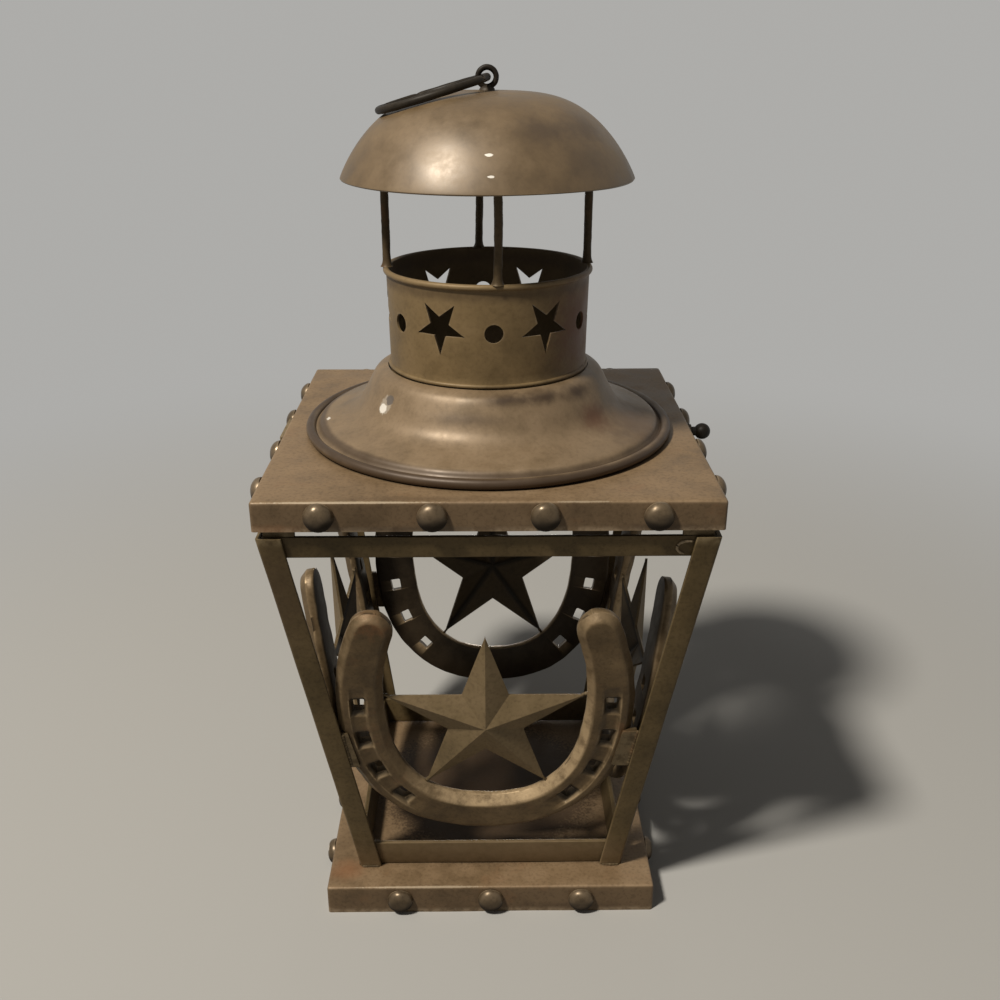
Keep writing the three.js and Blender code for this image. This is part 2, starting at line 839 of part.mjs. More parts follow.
function hangingEye() {
  const loop = new THREE.TorusGeometry(eyeMeanRadius, eyeWireRadius, wireSteps, eyeSteps)
    .rotateX(quarterTurn)
    .translate(0, 0, eyeCentre);
  const washerTop = hoodTop - hoodSheet - clearance;
  const shankFoot = washerTop - eyeWasherHeight / 2;
  const shank = rodAlongZ(eyeShankRadius, shankFoot, eyeCentre - eyeMeanRadius, smallRoundSteps);
  const washer = rodAlongZ(eyeWasherRadius, washerTop - eyeWasherHeight, washerTop, smallRoundSteps);
  const solid = solidOf(loop).add(solidOf(shank)).add(solidOf(washer));
  return meshOf('hanging_eye', geometryOf(solid), 'wire');
}

// Gap between the ring and the hood when the ring dips from level by an angle, towards -X
function ringGap(dip) {
  const samples = 90;
  let least = Infinity;
  for (let i = 0; i < samples; i += 1) {
    const angle = (i / samples) * fullTurn;
    const along = ringMeanRadius * (1 - Math.cos(angle));
    const radius = Math.hypot(along * Math.cos(dip), ringMeanRadius * Math.sin(angle));
    const height = eyeCentre - along * Math.sin(dip) - hoodRim - hoodHeightAt(radius);
    least = Math.min(least, height / Math.hypot(1, hoodSlopeAt(radius)) - ringWireRadius);
  }
  return least;
}

// The ring leans over until it lies on the hood
function restingDip() {
  const step = THREE.MathUtils.degToRad(0.1);
  let dip = 0;
  while (dip < quarterTurn && ringGap(dip + step) > clearance) {
    dip += step;
  }
  return dip;
}

function carryRing() {
  const ring = meshOf(
    'carry_ring',
    new THREE.TorusGeometry(ringMeanRadius, ringWireRadius, wireSteps, roundSteps)
      .translate(-ringMeanRadius, 0, 0),
    'wire',
  );
  ring.position.set(0, 0, eyeCentre);
  ring.rotation.y = -restingDip();
  return ring;
}

// Hinge, drawn as on the front and turned to the left side

const hingeHeight = (frameTop + flangeFoot) / 2;
const hingeReach = roofHalf + clearance + knuckleRadius;
const leafHalf = hingeLength / 2;
const leftSide = sideNames.indexOf('left');
const rightSide = sideNames.indexOf('right');

function rodAlongX(radius, from, to, steps) {
  return rodAlongY(radius, from, to, steps).rotateZ(-quarterTurn);
}

function knuckle(from, to) {
  const barrel = rodAlongX(knuckleRadius, from, to, smallRoundSteps);
  return solidOf(barrel.translate(0, -hingeReach, hingeHeight));
}

function hingeBore() {
  const bore = rodAlongX(pinRadius + clearance, -hingeLength, hingeLength, smallRoundSteps);
  return solidOf(bore.translate(0, -hingeReach, hingeHeight));
}

function onLeftSide(mesh) {
  const group = sideGroup(leftSide);
  group.add(mesh);
  return group;
}

function roofLeaf() {
  const outside = -(roofHalf + clearance + leafThickness);
  const inside = -(roofHalf + clearance);
  const plateFoot = hingeHeight + knuckleRadius + clearance;
  const plate = boxBetween(
    new THREE.Vector3(-leafHalf, outside, plateFoot),
    new THREE.Vector3(leafHalf, inside, roofTop - roofLeafTop),
  );
  const finger = boxBetween(
    new THREE.Vector3(-middleKnuckle / 2, outside, hingeHeight),
    new THREE.Vector3(middleKnuckle / 2, inside, plateFoot + leafThickness),
  );
  const solid = solidOf(plate)
    .add(solidOf(finger))
    .add(knuckle(-middleKnuckle / 2, middleKnuckle / 2))
    .subtract(hingeBore());
  return onLeftSide(meshOf('hinge_roof_leaf', geometryOf(solid), 'frame'));
}

function frameLeaf() {
  const top = hingeHeight + frameLeafBridge / 2;
  const foot = frameTop - frameLeafDrop;
  const inset = hoopInset - clearance;
  const plateAt = (height) => {
    const inside = inset - frameHalfAt(height);
    const outside = inside - leafThickness;
    return [[-leafHalf, outside], [leafHalf, outside], [leafHalf, inside], [-leafHalf, inside]]
      .map(([x, y]) => new THREE.Vector3(x, y, height));
  };
  let solid = solidOf(loft(plateAt(foot), plateAt(top)));
  const start = middleKnuckle / 2 + clearance;
  for (const [from, to] of [[-leafHalf, -start], [start, leafHalf]]) {
    const finger = boxBetween(
      new THREE.Vector3(from, -hingeReach, top - frameLeafBridge),
      new THREE.Vector3(to, inset - frameHalfAt(top), top),
    );
    solid = solid.add(solidOf(finger)).add(knuckle(from, to));
  }
  return onLeftSide(meshOf('hinge_frame_leaf', geometryOf(solid.subtract(hingeBore())), 'frame'));
}

function hingePin() {
  const shoulder = leafHalf + clearance;
  const end = shoulder + pinHeadHeight;
  const profile = [
    [0, -end], [pinHeadRadius, -end], [pinHeadRadius, -shoulder], [pinRadius, -shoulder],
    [pinRadius, shoulder], [pinHeadRadius, shoulder], [pinHeadRadius, end], [0, end],
  ].map(([r, h]) => new THREE.Vector2(r, h));
  const pin = meshOf('hinge_pin', turned(profile, smallRoundSteps).rotateY(quarterTurn), 'rivet');
  pin.position.set(0, -hingeReach, hingeHeight);
  return onLeftSide(pin);
}

// Lift knob: a ball on a stem through the right flange, with a shoulder that seats on it

function liftKnob() {
  const tail = traySheet + rivetTail;
  const ballMiddle = knobReach - knobRadius;
  const start = Math.asin(knobStemRadius / knobRadius);
  const profile = [
    [0, -tail],
    [knobStemRadius, -tail],
    [knobStemRadius, clearance],
    [knobShoulderRadius, clearance],
    [knobShoulderRadius, clearance + knobShoulderHeight],
    [knobStemRadius, clearance + knobShoulderHeight],
  ].map(([r, h]) => new THREE.Vector2(r, h));
  for (let i = 0; i <= ballSteps; i += 1) {
    const angle = start + (i / ballSteps) * (Math.PI - start);
    const r = i === ballSteps ? 0 : knobRadius * Math.sin(angle);
    profile.push(new THREE.Vector2(r, ballMiddle - knobRadius * Math.cos(angle)));
  }
  const knob = meshOf('lift_knob', turned(profile, smallRoundSteps).rotateX(quarterTurn), 'wire');
  knob.position.set(0, -roofHalf, knobHeight);
  const group = sideGroup(rightSide);
  group.add(knob);
  return group;
}

// The whole lantern

const lantern = new THREE.Group();
lantern.add(baseTray(), footHoop(), topHoop(), roofTray(), collar(), chimney(), hood());
lantern.add(rivets('base', baseHalf, baseRivetPlaces, baseRivetHeight, baseRivetHeadRise));
lantern.add(rivets('roof', roofHalf, roofRivetPlaces, roofRivetHeight, roofRivetHeadRise));
for (let side = 0; side < sideNames.length; side += 1) {
  lantern.add(cornerPost(side), horseshoe(side), star(side), hoodWire(side));
}
lantern.add(hangingEye(), carryRing(), frameLeaf(), roofLeaf(), hingePin(), liftKnob());

export default lantern;
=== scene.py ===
"""Looks of the candle lantern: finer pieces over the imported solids, patina finishes, light and camera.

Shapes are drawn in millimetres in the part's frame, and meshes are made from them in metres.
"""

from bisect import bisect_right
from math import asin, atan, atan2, cos, exp, hypot, pi, radians, sin, sqrt

import bmesh
import bpy
from mathutils import Matrix, Vector, noise


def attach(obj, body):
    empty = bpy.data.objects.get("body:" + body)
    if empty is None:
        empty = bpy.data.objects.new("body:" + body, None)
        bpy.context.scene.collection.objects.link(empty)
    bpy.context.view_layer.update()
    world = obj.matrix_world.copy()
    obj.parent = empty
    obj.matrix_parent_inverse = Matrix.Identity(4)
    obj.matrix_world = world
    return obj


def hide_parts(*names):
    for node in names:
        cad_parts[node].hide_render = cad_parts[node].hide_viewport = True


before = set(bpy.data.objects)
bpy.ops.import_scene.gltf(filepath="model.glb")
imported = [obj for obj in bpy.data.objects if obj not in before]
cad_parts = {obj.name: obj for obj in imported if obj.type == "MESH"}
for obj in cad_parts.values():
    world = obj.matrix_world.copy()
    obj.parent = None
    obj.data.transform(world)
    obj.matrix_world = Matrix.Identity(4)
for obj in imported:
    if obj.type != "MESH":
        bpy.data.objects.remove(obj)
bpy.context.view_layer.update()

# Sizes in millimetres, as in the solids; creases, hollows and round edges are finer here
MM = 0.001
SIDES = ["front", "right", "back", "left"]
CORNERS = ["front_left", "front_right", "back_right", "back_left"]
CLEARANCE = 0.3
JOIN_DISTANCE = 0.002

SHEET = 1.2
BEND = 1.3
BASE_HALF = 74.0
BASE_TOP = 14.0
ROOF_HALF = 89.0
FLANGE_FOOT = 197.3
ROOF_TOP = 209.3
VENT_RADIUS = 62.0

FOOT_HALF = 60.1
TOP_HALF = 88.0
FRAME_FOOT = 14.3
FRAME_TOP = 193.7
POST_LEG = 9.6
POST_THICKNESS = 1.6
BAR_THICKNESS = 2.0
FOOT_BAR_TOP = 27.7
TOP_BAR_FOOT = 184.5
TAB_FOOT = 189.7
TAB_TOP = 207.8
TAB_LEG = 12.0
POST_EDGE = 0.5
POST_BEND = 1.1
POST_BEND_INSIDE = 0.6
BAR_EDGE = 0.5
TAB_EDGE = 0.4
TAB_BEND = 0.6

BASE_RIVETS = [-41.0, 0.0, 41.0]
ROOF_RIVETS = [-63.45, -21.15, 21.15, 63.45]
RIVET_RADIUS = 5.8
ROOF_RIVET_HEIGHT = 4.2
BASE_RIVET_HEIGHT = 3.5
ROOF_RIVET_FULLNESS = 0.95
BASE_RIVET_FULLNESS = 0.62
RIVET_SHANK = 1.8
RIVET_TAIL = 0.8

SHOE_SHIFT = -1.9
SHOE_TOE = 21.3
SHOE_WIDEST = 97.0
SHOE_HEEL = 142.0
SHOE_SIDE_GAP = 0.5
WEB_AT_TOE = 18.8
WEB_AT_SIDE = 20.4
WEB_AT_HEEL = 18.0
WEB_SWELL = 80.0
HEEL_INSET = 10.0
TOE_SHARE = 0.62
SHOE_ROUNDNESS = 2.35
SHOE_THICKNESS = 6.4
BEVEL_AT_TOE = 3.8
BEVEL_AT_HEEL = 3.1
OUTER_BEVEL = 2.9
CREASE_DEPTH = 0.9
CREASE_WIDTH = 7.4
CREASE_SHIFT = 0.6
CREASE_FADE = 3.0
SINK_DEPTH = 1.6
SINK_LENGTH = 10.4
SINK_WIDTH = 7.2
NAIL_LENGTH = 6.2
NAIL_WIDTH = 5.0
NAILS_PER_BRANCH = 4
FIRST_NAIL = 39.6
NAIL_PITCH = 18.4
NAIL_DISTANCES = [FIRST_NAIL + i * NAIL_PITCH for i in range(NAILS_PER_BRANCH)]
# Share of rubbing and painted light where a face looks down or right, and on the heels
LEAST_RUB_AND_LIGHT = 0.15
HEEL_RUB_AND_LIGHT = 0.35
PANEL_RISES = [0.0, 0.0, 4.8, 3.0]
LUG_LOW = 62.5
LUG_HIGH = 82.0
LUG_FRONT = -0.9
LUG_THICKNESS = 2.6
LUG_BITE = 4.0
LUG_EDGE = 0.7
NAIL_EDGE = 0.7

STAR_HEIGHT = 85.0
STAR_RISE = 6.7
STAR_DEPTH = -6.0
STAR_RADIUS = 44.7
STAR_WAIST = 0.382

COLLAR_FOOT = 209.6
COLLAR_TOP = 238.1
COLLAR_RADIUS = 79.8
COLLAR_BEAD = 2.1
COLLAR_NECK = 42.2
COLLAR_SHEET = 1.0
COLLAR_SWEEP = [
    (0, 0), (0.037, 0.049), (0.099, 0.133), (0.296, 0.208), (0.481, 0.292),
    (0.617, 0.428), (0.722, 0.663), (0.821, 0.883), (0.907, 0.966), (1, 1),
]

CHIMNEY_FOOT = 234.1
CHIMNEY_TOP = 280.0
CHIMNEY_RADIUS = 41.9
CHIMNEY_FLARE = 0.7
CHIMNEY_SHEET = 1.0
CHIMNEY_BEAD = 1.3
CHIMNEY_LIP = 0.9
CUTOUTS = 6
CUTOUT_TURN = radians(3)
CUT_STAR_RADIUS = 11.4
CUT_STAR_HEIGHT = 28.2
CUT_HOLE_RADIUS = 3.8
CUT_HOLE_HEIGHT = 26.4

HOOD_RIM = 315.5
HOOD_RISE = 32.7
HOOD_RADIUS = 59.6
HOOD_FULLNESS = 3.4
HOOD_STEEPNESS = 0.92
HOOD_SHEET = 1.0
WIRE_RADIUS = 1.7
WIRE_CIRCLE = 42.1
WIRE_TOP = 336.0
WIRE_TURN = radians(5)

EYE_CENTRE = 353.2
EYE_RADIUS = 3.6
EYE_WIRE = 1.1
EYE_SHANK = 1.5
EYE_WASHER = 4.5
RING_RADIUS = 22.4
RING_WIRE = 1.5
RING_DIP = radians(16)

HINGE_REACH = 92.0
HINGE_HEIGHT = 195.5
HINGE_HALF = 13.0
HINGE_MIDDLE = 5.5
KNUCKLE_RADIUS = 2.7
PIN_RADIUS = 1.2
PIN_HEAD = 2.0
PIN_HEAD_HEIGHT = 0.8
LEAF_THICKNESS = 1.2
LEAF_EDGE = 0.4
LEAF_RIVETS = (-9.5, 9.5)

KNOB_HEIGHT = 205.5
KNOB_RADIUS = 3.6
KNOB_STEM = 2.0
KNOB_REACH = 10.0
KNOB_SHOULDER = 3.2

LUG_WELD = 0.95
STAR_WELD = 0.8
POST_WELD = 0.5
POST_WELD_GAP = 0.3
RAIL_WELD = 0.62
RAIL_WELD_ACROSS = 75.6
RAIL_WELD_DROP = 5.4
RAIL_WELD_DEPTH = -1.75
RAIL_WELD_WIDTH = 8.4
RAIL_WELD_HEIGHT = 6.0

# Uneven surfaces: the size of the waves and how far they move the surface
WAVES = {
    "tray": (38, 0.22), "rivet": (3.2, 0.16), "post": (24, 0.12), "rail": (24, 0.1),
    "shoe": (7, 0.28), "whole_shoe": (19, 0.35), "fixing": (4, 0.16), "collar": (30, 0.16),
    "chimney": (26, 0.12), "hood": (34, 0.22), "wire": (2.6, 0.16), "eye": (2.2, 0.1),
    "ring": (6, 0.1), "knob": (3, 0.12),
}

FLARE = (TOP_HALF - FOOT_HALF) / (FRAME_TOP - FRAME_FOOT)
LEAN = atan(FLARE)
POST_INSET = POST_THICKNESS + CLEARANCE
SHOE_FRONT = -POST_INSET
SHOE_BACK = SHOE_FRONT - SHOE_THICKNESS

# Turns of a shape drawn upwards, so that it points to the front or to the right
TO_FRONT = Matrix.Rotation(pi / 2, 4, "X")
TO_RIGHT = Matrix.Rotation(pi / 2, 4, "Y")

# Floor, light and camera, in metres, watts and degrees
BACKGROUND = (0.42, 0.415, 0.4)
FLOOR_TINT = (0.24, 0.235, 0.22)
FLOOR_REACH = 5.0
FLOOR_FADE = (0.22, 0.85)
SOFT_LIGHT = (1.0, 0.96, 0.9)
SOFT_STRENGTH = 0.1
LAMP_AIM = (0, 0, 0.18)
LAMPS = {
    "key": {"place": (-1.16, -0.98, 2.32), "size": 0.34, "power": 80, "colour": (1.0, 0.94, 0.84)},
    "back": {"place": (0.05, 1.7, 0.11), "size": 0.16, "power": 3.5, "colour": (1.0, 0.97, 0.92)},
}
CAMERA_PLACE = (-0.41, -459.6, 366.2)
CAMERA_DIP = 22.852
CAMERA_TURN = -0.687
CAMERA_LENS = 39.217
CAMERA_SENSOR = 36


# Small helpers


def mix(a, b, share):
    return a + (b - a) * share


def smooth(low, high, value):
    """0 below low, 1 above high, and a soft step between."""
    share = min(max((value - low) / (high - low), 0.0), 1.0)
    return share * share * (3 - 2 * share)


def shares(steps):
    """From 0 to 1 in even steps."""
    return [step / steps for step in range(steps + 1)]


def turn_angles(steps):
    return [2 * pi * step / steps for step in range(steps)]


def polar(radius, angle):
    return radius * cos(angle), radius * sin(angle)


def frame_half(height):
    """Half of the frame's outer width at a height."""
    return FOOT_HALF + (height - FRAME_FOOT) * FLARE


def side_turn(side):
    return Matrix.Rotation(side * pi / 2, 4, "Z")


def panel_place(side):
    """From the plane of a side panel (across, up the panel, outwards) to the part's frame."""
    lean = Matrix.Rotation(pi / 2 + LEAN, 4, "X")
    return side_turn(side) @ Matrix.Translation((0, -FOOT_HALF, FRAME_FOOT)) @ lean


# Shapes: a list of points and a list of faces


def skin(rings, loop=False):
    """Faces between rings of points that are listed alike, with flat ends unless the rings make a loop."""
    count = len(rings[0])
    points = [Vector(point) for ring in rings for point in ring]
    faces = []
    for ring in range(len(rings) if loop else len(rings) - 1):
        here = ring * count
        there = ((ring + 1) % len(rings)) * count
        for i in range(count):
            after = (i + 1) % count
            faces.append((here + i, here + after, there + after, there + i))
    if not loop:
        faces.append(tuple(reversed(range(count))))
        faces.append(tuple(range(len(points) - count, len(points))))
    return points, faces


def lathe(profile, steps):
    """A closed outline of radius and height, turned about Z."""
    rings = [[(*polar(r, angle), z) for r, z in profile] for angle in turn_angles(steps)]
    return skin(rings, loop=True)


def circle_path(centre, radius, steps, first, second):
    """Points on a circle in the plane of two directions."""
    return [centre + (first * cos(a) + second * sin(a)) * radius for a in turn_angles(steps)]


def tube(path, radii, steps, loop=False):
    """A round bar along a path, with a radius at each of its points."""
    rings = []
    count = len(path)
    for i, point in enumerate(path):
        before = path[i - 1] if loop or i > 0 else point
        after = path[(i + 1) % count] if loop or i < count - 1 else point
        along = (after - before).normalized()
        guide = Vector((0, 1, 0)) if abs(along.y) < 0.9 else Vector((1, 0, 0))
        across = along.cross(guide).normalized()
        up = along.cross(across)
        rings.append(circle_path(point, radii[i], steps, across, up))
    return skin(rings, loop)


def joined(*shapes):
    points = []
    faces = []
    for more_points, more_faces in shapes:
        start = len(points)
        points.extend(more_points)
        faces.extend(tuple(index + start for index in face) for face in more_faces)
    return points, faces


def placed(shape, matrix):
    points, faces = shape
    return [matrix @ Vector(point) for point in points], faces


def rectangle(low_x, low_y, high_x, high_y):
    return [(low_x, low_y), (high_x, low_y), (high_x, high_y), (low_x, high_y)]


def circle(radius, steps):
    return [polar(radius, angle) for angle in turn_angles(steps)]


def rounded(corners, radii):
    """A closed outline with its corners rounded off, all by one radius or each by its own."""
    if isinstance(radii, float):
        radii = [radii] * len(corners)
    outline = []
    for i, corner in enumerate(corners):
        here = Vector(corner)
        before = Vector(corners[i - 1])
        after = Vector(corners[(i + 1) % len(corners)])
        start = here + (before - here).normalized() * radii[i]
        end = here + (after - here).normalized() * radii[i]
        for share in shares(3):
            outline.append(start.lerp(here, share).lerp(here.lerp(end, share), share))
    return outline


def prism(outline, low, high, cells=1):
    """An outline in X and Y, drawn out along Z."""
    heights = [mix(low, high, share) for share in shares(cells)]
    return skin([[(x, y, z) for x, y in outline] for z in heights])


def block(low, high):
    """A bar between two corners with its upright edges rounded."""
    outline = rounded(rectangle(low[0], low[1], high[0], high[1]), LEAF_EDGE)
    return prism(outline, low[2], high[2])


def star_outline(radius, turn=0.0):
    outline = []
    for i in range(10):
        reach = radius if i % 2 == 0 else radius * STAR_WAIST
        outline.append(polar(reach, pi / 2 + turn + i * pi / 5))
    return outline


# Meshes and objects


def mesh_of(name, shape):
    """A mesh from a shape, with double points joined and its faces turned outwards."""
    points, faces = shape
    mesh = bpy.data.meshes.new(name)
    mesh.from_pydata([Vector(point) * MM for point in points], [], faces)
    build = bmesh.new()
    build.from_mesh(mesh)
    bmesh.ops.remove_doubles(build, verts=build.verts, dist=JOIN_DISTANCE * MM)
    bmesh.ops.dissolve_degenerate(build, edges=build.edges, dist=JOIN_DISTANCE * MM)
    bmesh.ops.recalc_face_normals(build, faces=build.faces)
    build.to_mesh(mesh)
    build.free()
    return mesh


def object_of(name, data):
    made = bpy.data.objects.new(name, data)
    bpy.context.scene.collection.objects.link(made)
    return made


def settle(made):
    """Turns an object's modifiers into its mesh."""
    before = made.data
    view = bpy.context.evaluated_depsgraph_get()
    view.update()
    after = bpy.data.meshes.new_from_object(made.evaluated_get(view))
    made.modifiers.clear()
    made.data = after
    bpy.data.meshes.remove(before)


def bare_mesh(made):
    """Keeps an object's mesh and removes the object."""
    mesh = made.data
    bpy.data.objects.remove(made)
    return mesh


def cut(made, shape):
    """Takes a shape out of an object."""
    cutter = object_of("cutter", mesh_of("cutter", shape))
    modifier = made.modifiers.new("cut", "BOOLEAN")
    modifier.operation = "DIFFERENCE"
    modifier.solver = "EXACT"
    modifier.object = cutter
    settle(made)
    bpy.data.objects.remove(cutter)


def thicken(made, even=False):
    """Gives a surface the thickness of the sheet, inwards, once the object is settled."""
    sheet = made.modifiers.new("sheet", "SOLIDIFY")
    sheet.thickness = SHEET * MM
    sheet.offset = -1
    sheet.use_even_offset = even


def roughen(mesh, wave):
    """Moves the surface in and out in soft waves, as in hand-worked metal."""
    size, depth = WAVES[wave]
    offsets = []
    for vertex in mesh.vertices:
        rise = noise.noise(vertex.co / (size * MM))
        offsets.append(vertex.normal * rise * depth * MM)
    for vertex, offset in zip(mesh.vertices, offsets):
        vertex.co += offset


def store(mesh, name, values):
    """Keeps a number for each point of a mesh, which the finishes read."""
    attribute = mesh.attributes.new(name, "FLOAT", "POINT")
    attribute.data.foreach_set("value", values)


def mark_surface(mesh, inside):
    """Stores two numbers for the finishes: how far a point stands out from its neighbours, and how far it
    faces the inside of the lantern and down, where soot and painted shade are laid. The inside is a
    direction, or else the middle."""
    build = bmesh.new()
    build.from_mesh(mesh)
    build.normal_update()
    wear = []
    soot_and_shade = []
    for vertex in build.verts:
        rise = 0.0
        for edge in vertex.link_edges:
            apart = vertex.co - edge.other_vert(vertex).co
            rise += apart.normalized().dot(vertex.normal)
        wear.append(rise / max(len(vertex.link_edges), 1))
        to_middle = inside or Vector((-vertex.co.x, -vertex.co.y, 0)).normalized()
        inward_and_down = to_middle * 0.8 - Vector((0, 0, 0.6))
        soot_and_shade.append(smooth(0.1, 0.5, inward_and_down.dot(vertex.normal)))
    build.free()
    store(mesh, "wear", wear)
    store(mesh, "soot_and_shade", soot_and_shade)


def dress(made, finish, body, nodes=(), crease=38, inside=None):
    """Gives a piece its shading, finish and CAD body, and hides the solids it stands for."""
    made.data.shade_smooth()
    made.data.set_sharp_from_angle(angle=radians(crease))
    mark_surface(made.data, inside)
    made.data.materials.clear()
    made.data.materials.append(FINISHES[finish])
    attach(made, body)
    if nodes:
        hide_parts(*nodes)


def add_piece(name, shape, finish, body, nodes=(), wave=None):
    """Makes and dresses a piece, with an uneven surface where a wave is named."""
    mesh = mesh_of(name, shape)
    if wave:
        roughen(mesh, wave)
    dress(object_of(name, mesh), finish, body, nodes)


# Finishes: nodes


def feed(tree, target, inputs):
    """Links outputs to the inputs of a node, or sets the inputs to plain values."""
    for key, value in inputs.items():
        if isinstance(value, bpy.types.NodeSocket):
            tree.links.new(value, target.inputs[key])
        else:
            target.inputs[key].default_value = value


def node(tree, kind, inputs, output=0, **settings):
    """Adds a node with its settings and inputs, and returns one of its outputs."""
    made = tree.nodes.new(kind)
    for key, value in settings.items():
        setattr(made, key, value)
    feed(tree, made, inputs)
    return made.outputs[output]


def noise_at(tree, place, scale, detail, roughness=0.55):
    """Soft noise with a number of waves per metre; detail and roughness set the finer waves in it."""
    inputs = {"Vector": place, "Scale": scale, "Detail": detail, "Roughness": roughness}
    return node(tree, "ShaderNodeTexNoise", inputs)


def stored(tree, name):
    return node(tree, "ShaderNodeAttribute", {}, "Fac", attribute_name=name)


def maths(tree, operation, a, b=0.0):
    return node(tree, "ShaderNodeMath", {0: a, 1: b}, operation=operation)


def vectors(tree, operation, a, b):
    return node(tree, "ShaderNodeVectorMath", {0: a, 1: b}, operation=operation)


def length(tree, vector):
    return node(tree, "ShaderNodeVectorMath", {0: vector}, "Value", operation="LENGTH")


def remap(tree, value, low, high, to_low, to_high):
    """A soft step, from to_low where the value is low to to_high where it is high."""
    inputs = {"Value": value, "From Min": low, "From Max": high, "To Min": to_low, "To Max": to_high}
    return node(tree, "ShaderNodeMapRange", inputs, "Result", interpolation_type="SMOOTHSTEP")


def weighted(tree, a, a_share, b, b_share):
    return maths(tree, "ADD", maths(tree, "MULTIPLY", a, a_share), maths(tree, "MULTIPLY", b, b_share))


def ramp(tree, value, stops):
    made = tree.nodes.new("ShaderNodeValToRGB")
    elements = made.color_ramp.elements
    while len(elements) < len(stops):
        elements.new(0.5)
    for element, (position, colour) in zip(elements, stops):
        element.position = position
        element.color = (*colour, 1)
    feed(tree, made, {"Fac": value})
    return made.outputs["Color"]


def blend(tree, share, a, b, mode="MIX"):
    colours = [colour if isinstance(colour, bpy.types.NodeSocket) else (*colour, 1) for colour in (a, b)]
    inputs = {0: share, 6: colours[0], 7: colours[1]}
    return node(tree, "ShaderNodeMix", inputs, 2, data_type="RGBA", blend_type=mode)


def lay(tree, colour, mask, strength, tint):
    """Lays a tint over a colour where the mask is 1."""
    return blend(tree, maths(tree, "MULTIPLY", mask, strength), colour, tint)


def spot_mask(tree, place, centre, reach, soft):
    """1 in a small ragged patch about a place on the surface; a soft patch fades out slowly."""
    shifted = vectors(tree, "SUBTRACT", place, Vector(centre) * MM)
    far = length(tree, vectors(tree, "DIVIDE", shifted, Vector(reach) * MM))
    ragged = maths(tree, "MULTIPLY", noise_at(tree, place, 260 if soft else 900, 3), 0.7)
    return remap(tree, maths(tree, "ADD", far, ragged), 0.4 if soft else 1.15, 1.4, 1.0, 0.0)


def ring_mask(tree, place, centre, radius, reach):
    """1 in a soft ragged band at a distance from an upright line through a centre."""
    shifted = vectors(tree, "SUBTRACT", place, Vector((*centre, 0)) * MM)
    from_line = length(tree, vectors(tree, "MULTIPLY", shifted, Vector((1, 1, 0))))
    apart = maths(tree, "ABSOLUTE", maths(tree, "SUBTRACT", from_line, radius * MM))
    ragged = maths(tree, "MULTIPLY", noise_at(tree, place, 60, 4), 0.7)
    far = maths(tree, "ADD", maths(tree, "DIVIDE", apart, reach * MM), ragged)
    return remap(tree, far, 0.5, 1.3, 1.0, 0.0)


def new_material(name):
    """A new material, with its nodes and its main shader."""
    material = bpy.data.materials.new(name)
    material.use_nodes = True
    return material, material.node_tree, material.node_tree.nodes["Principled BSDF"]


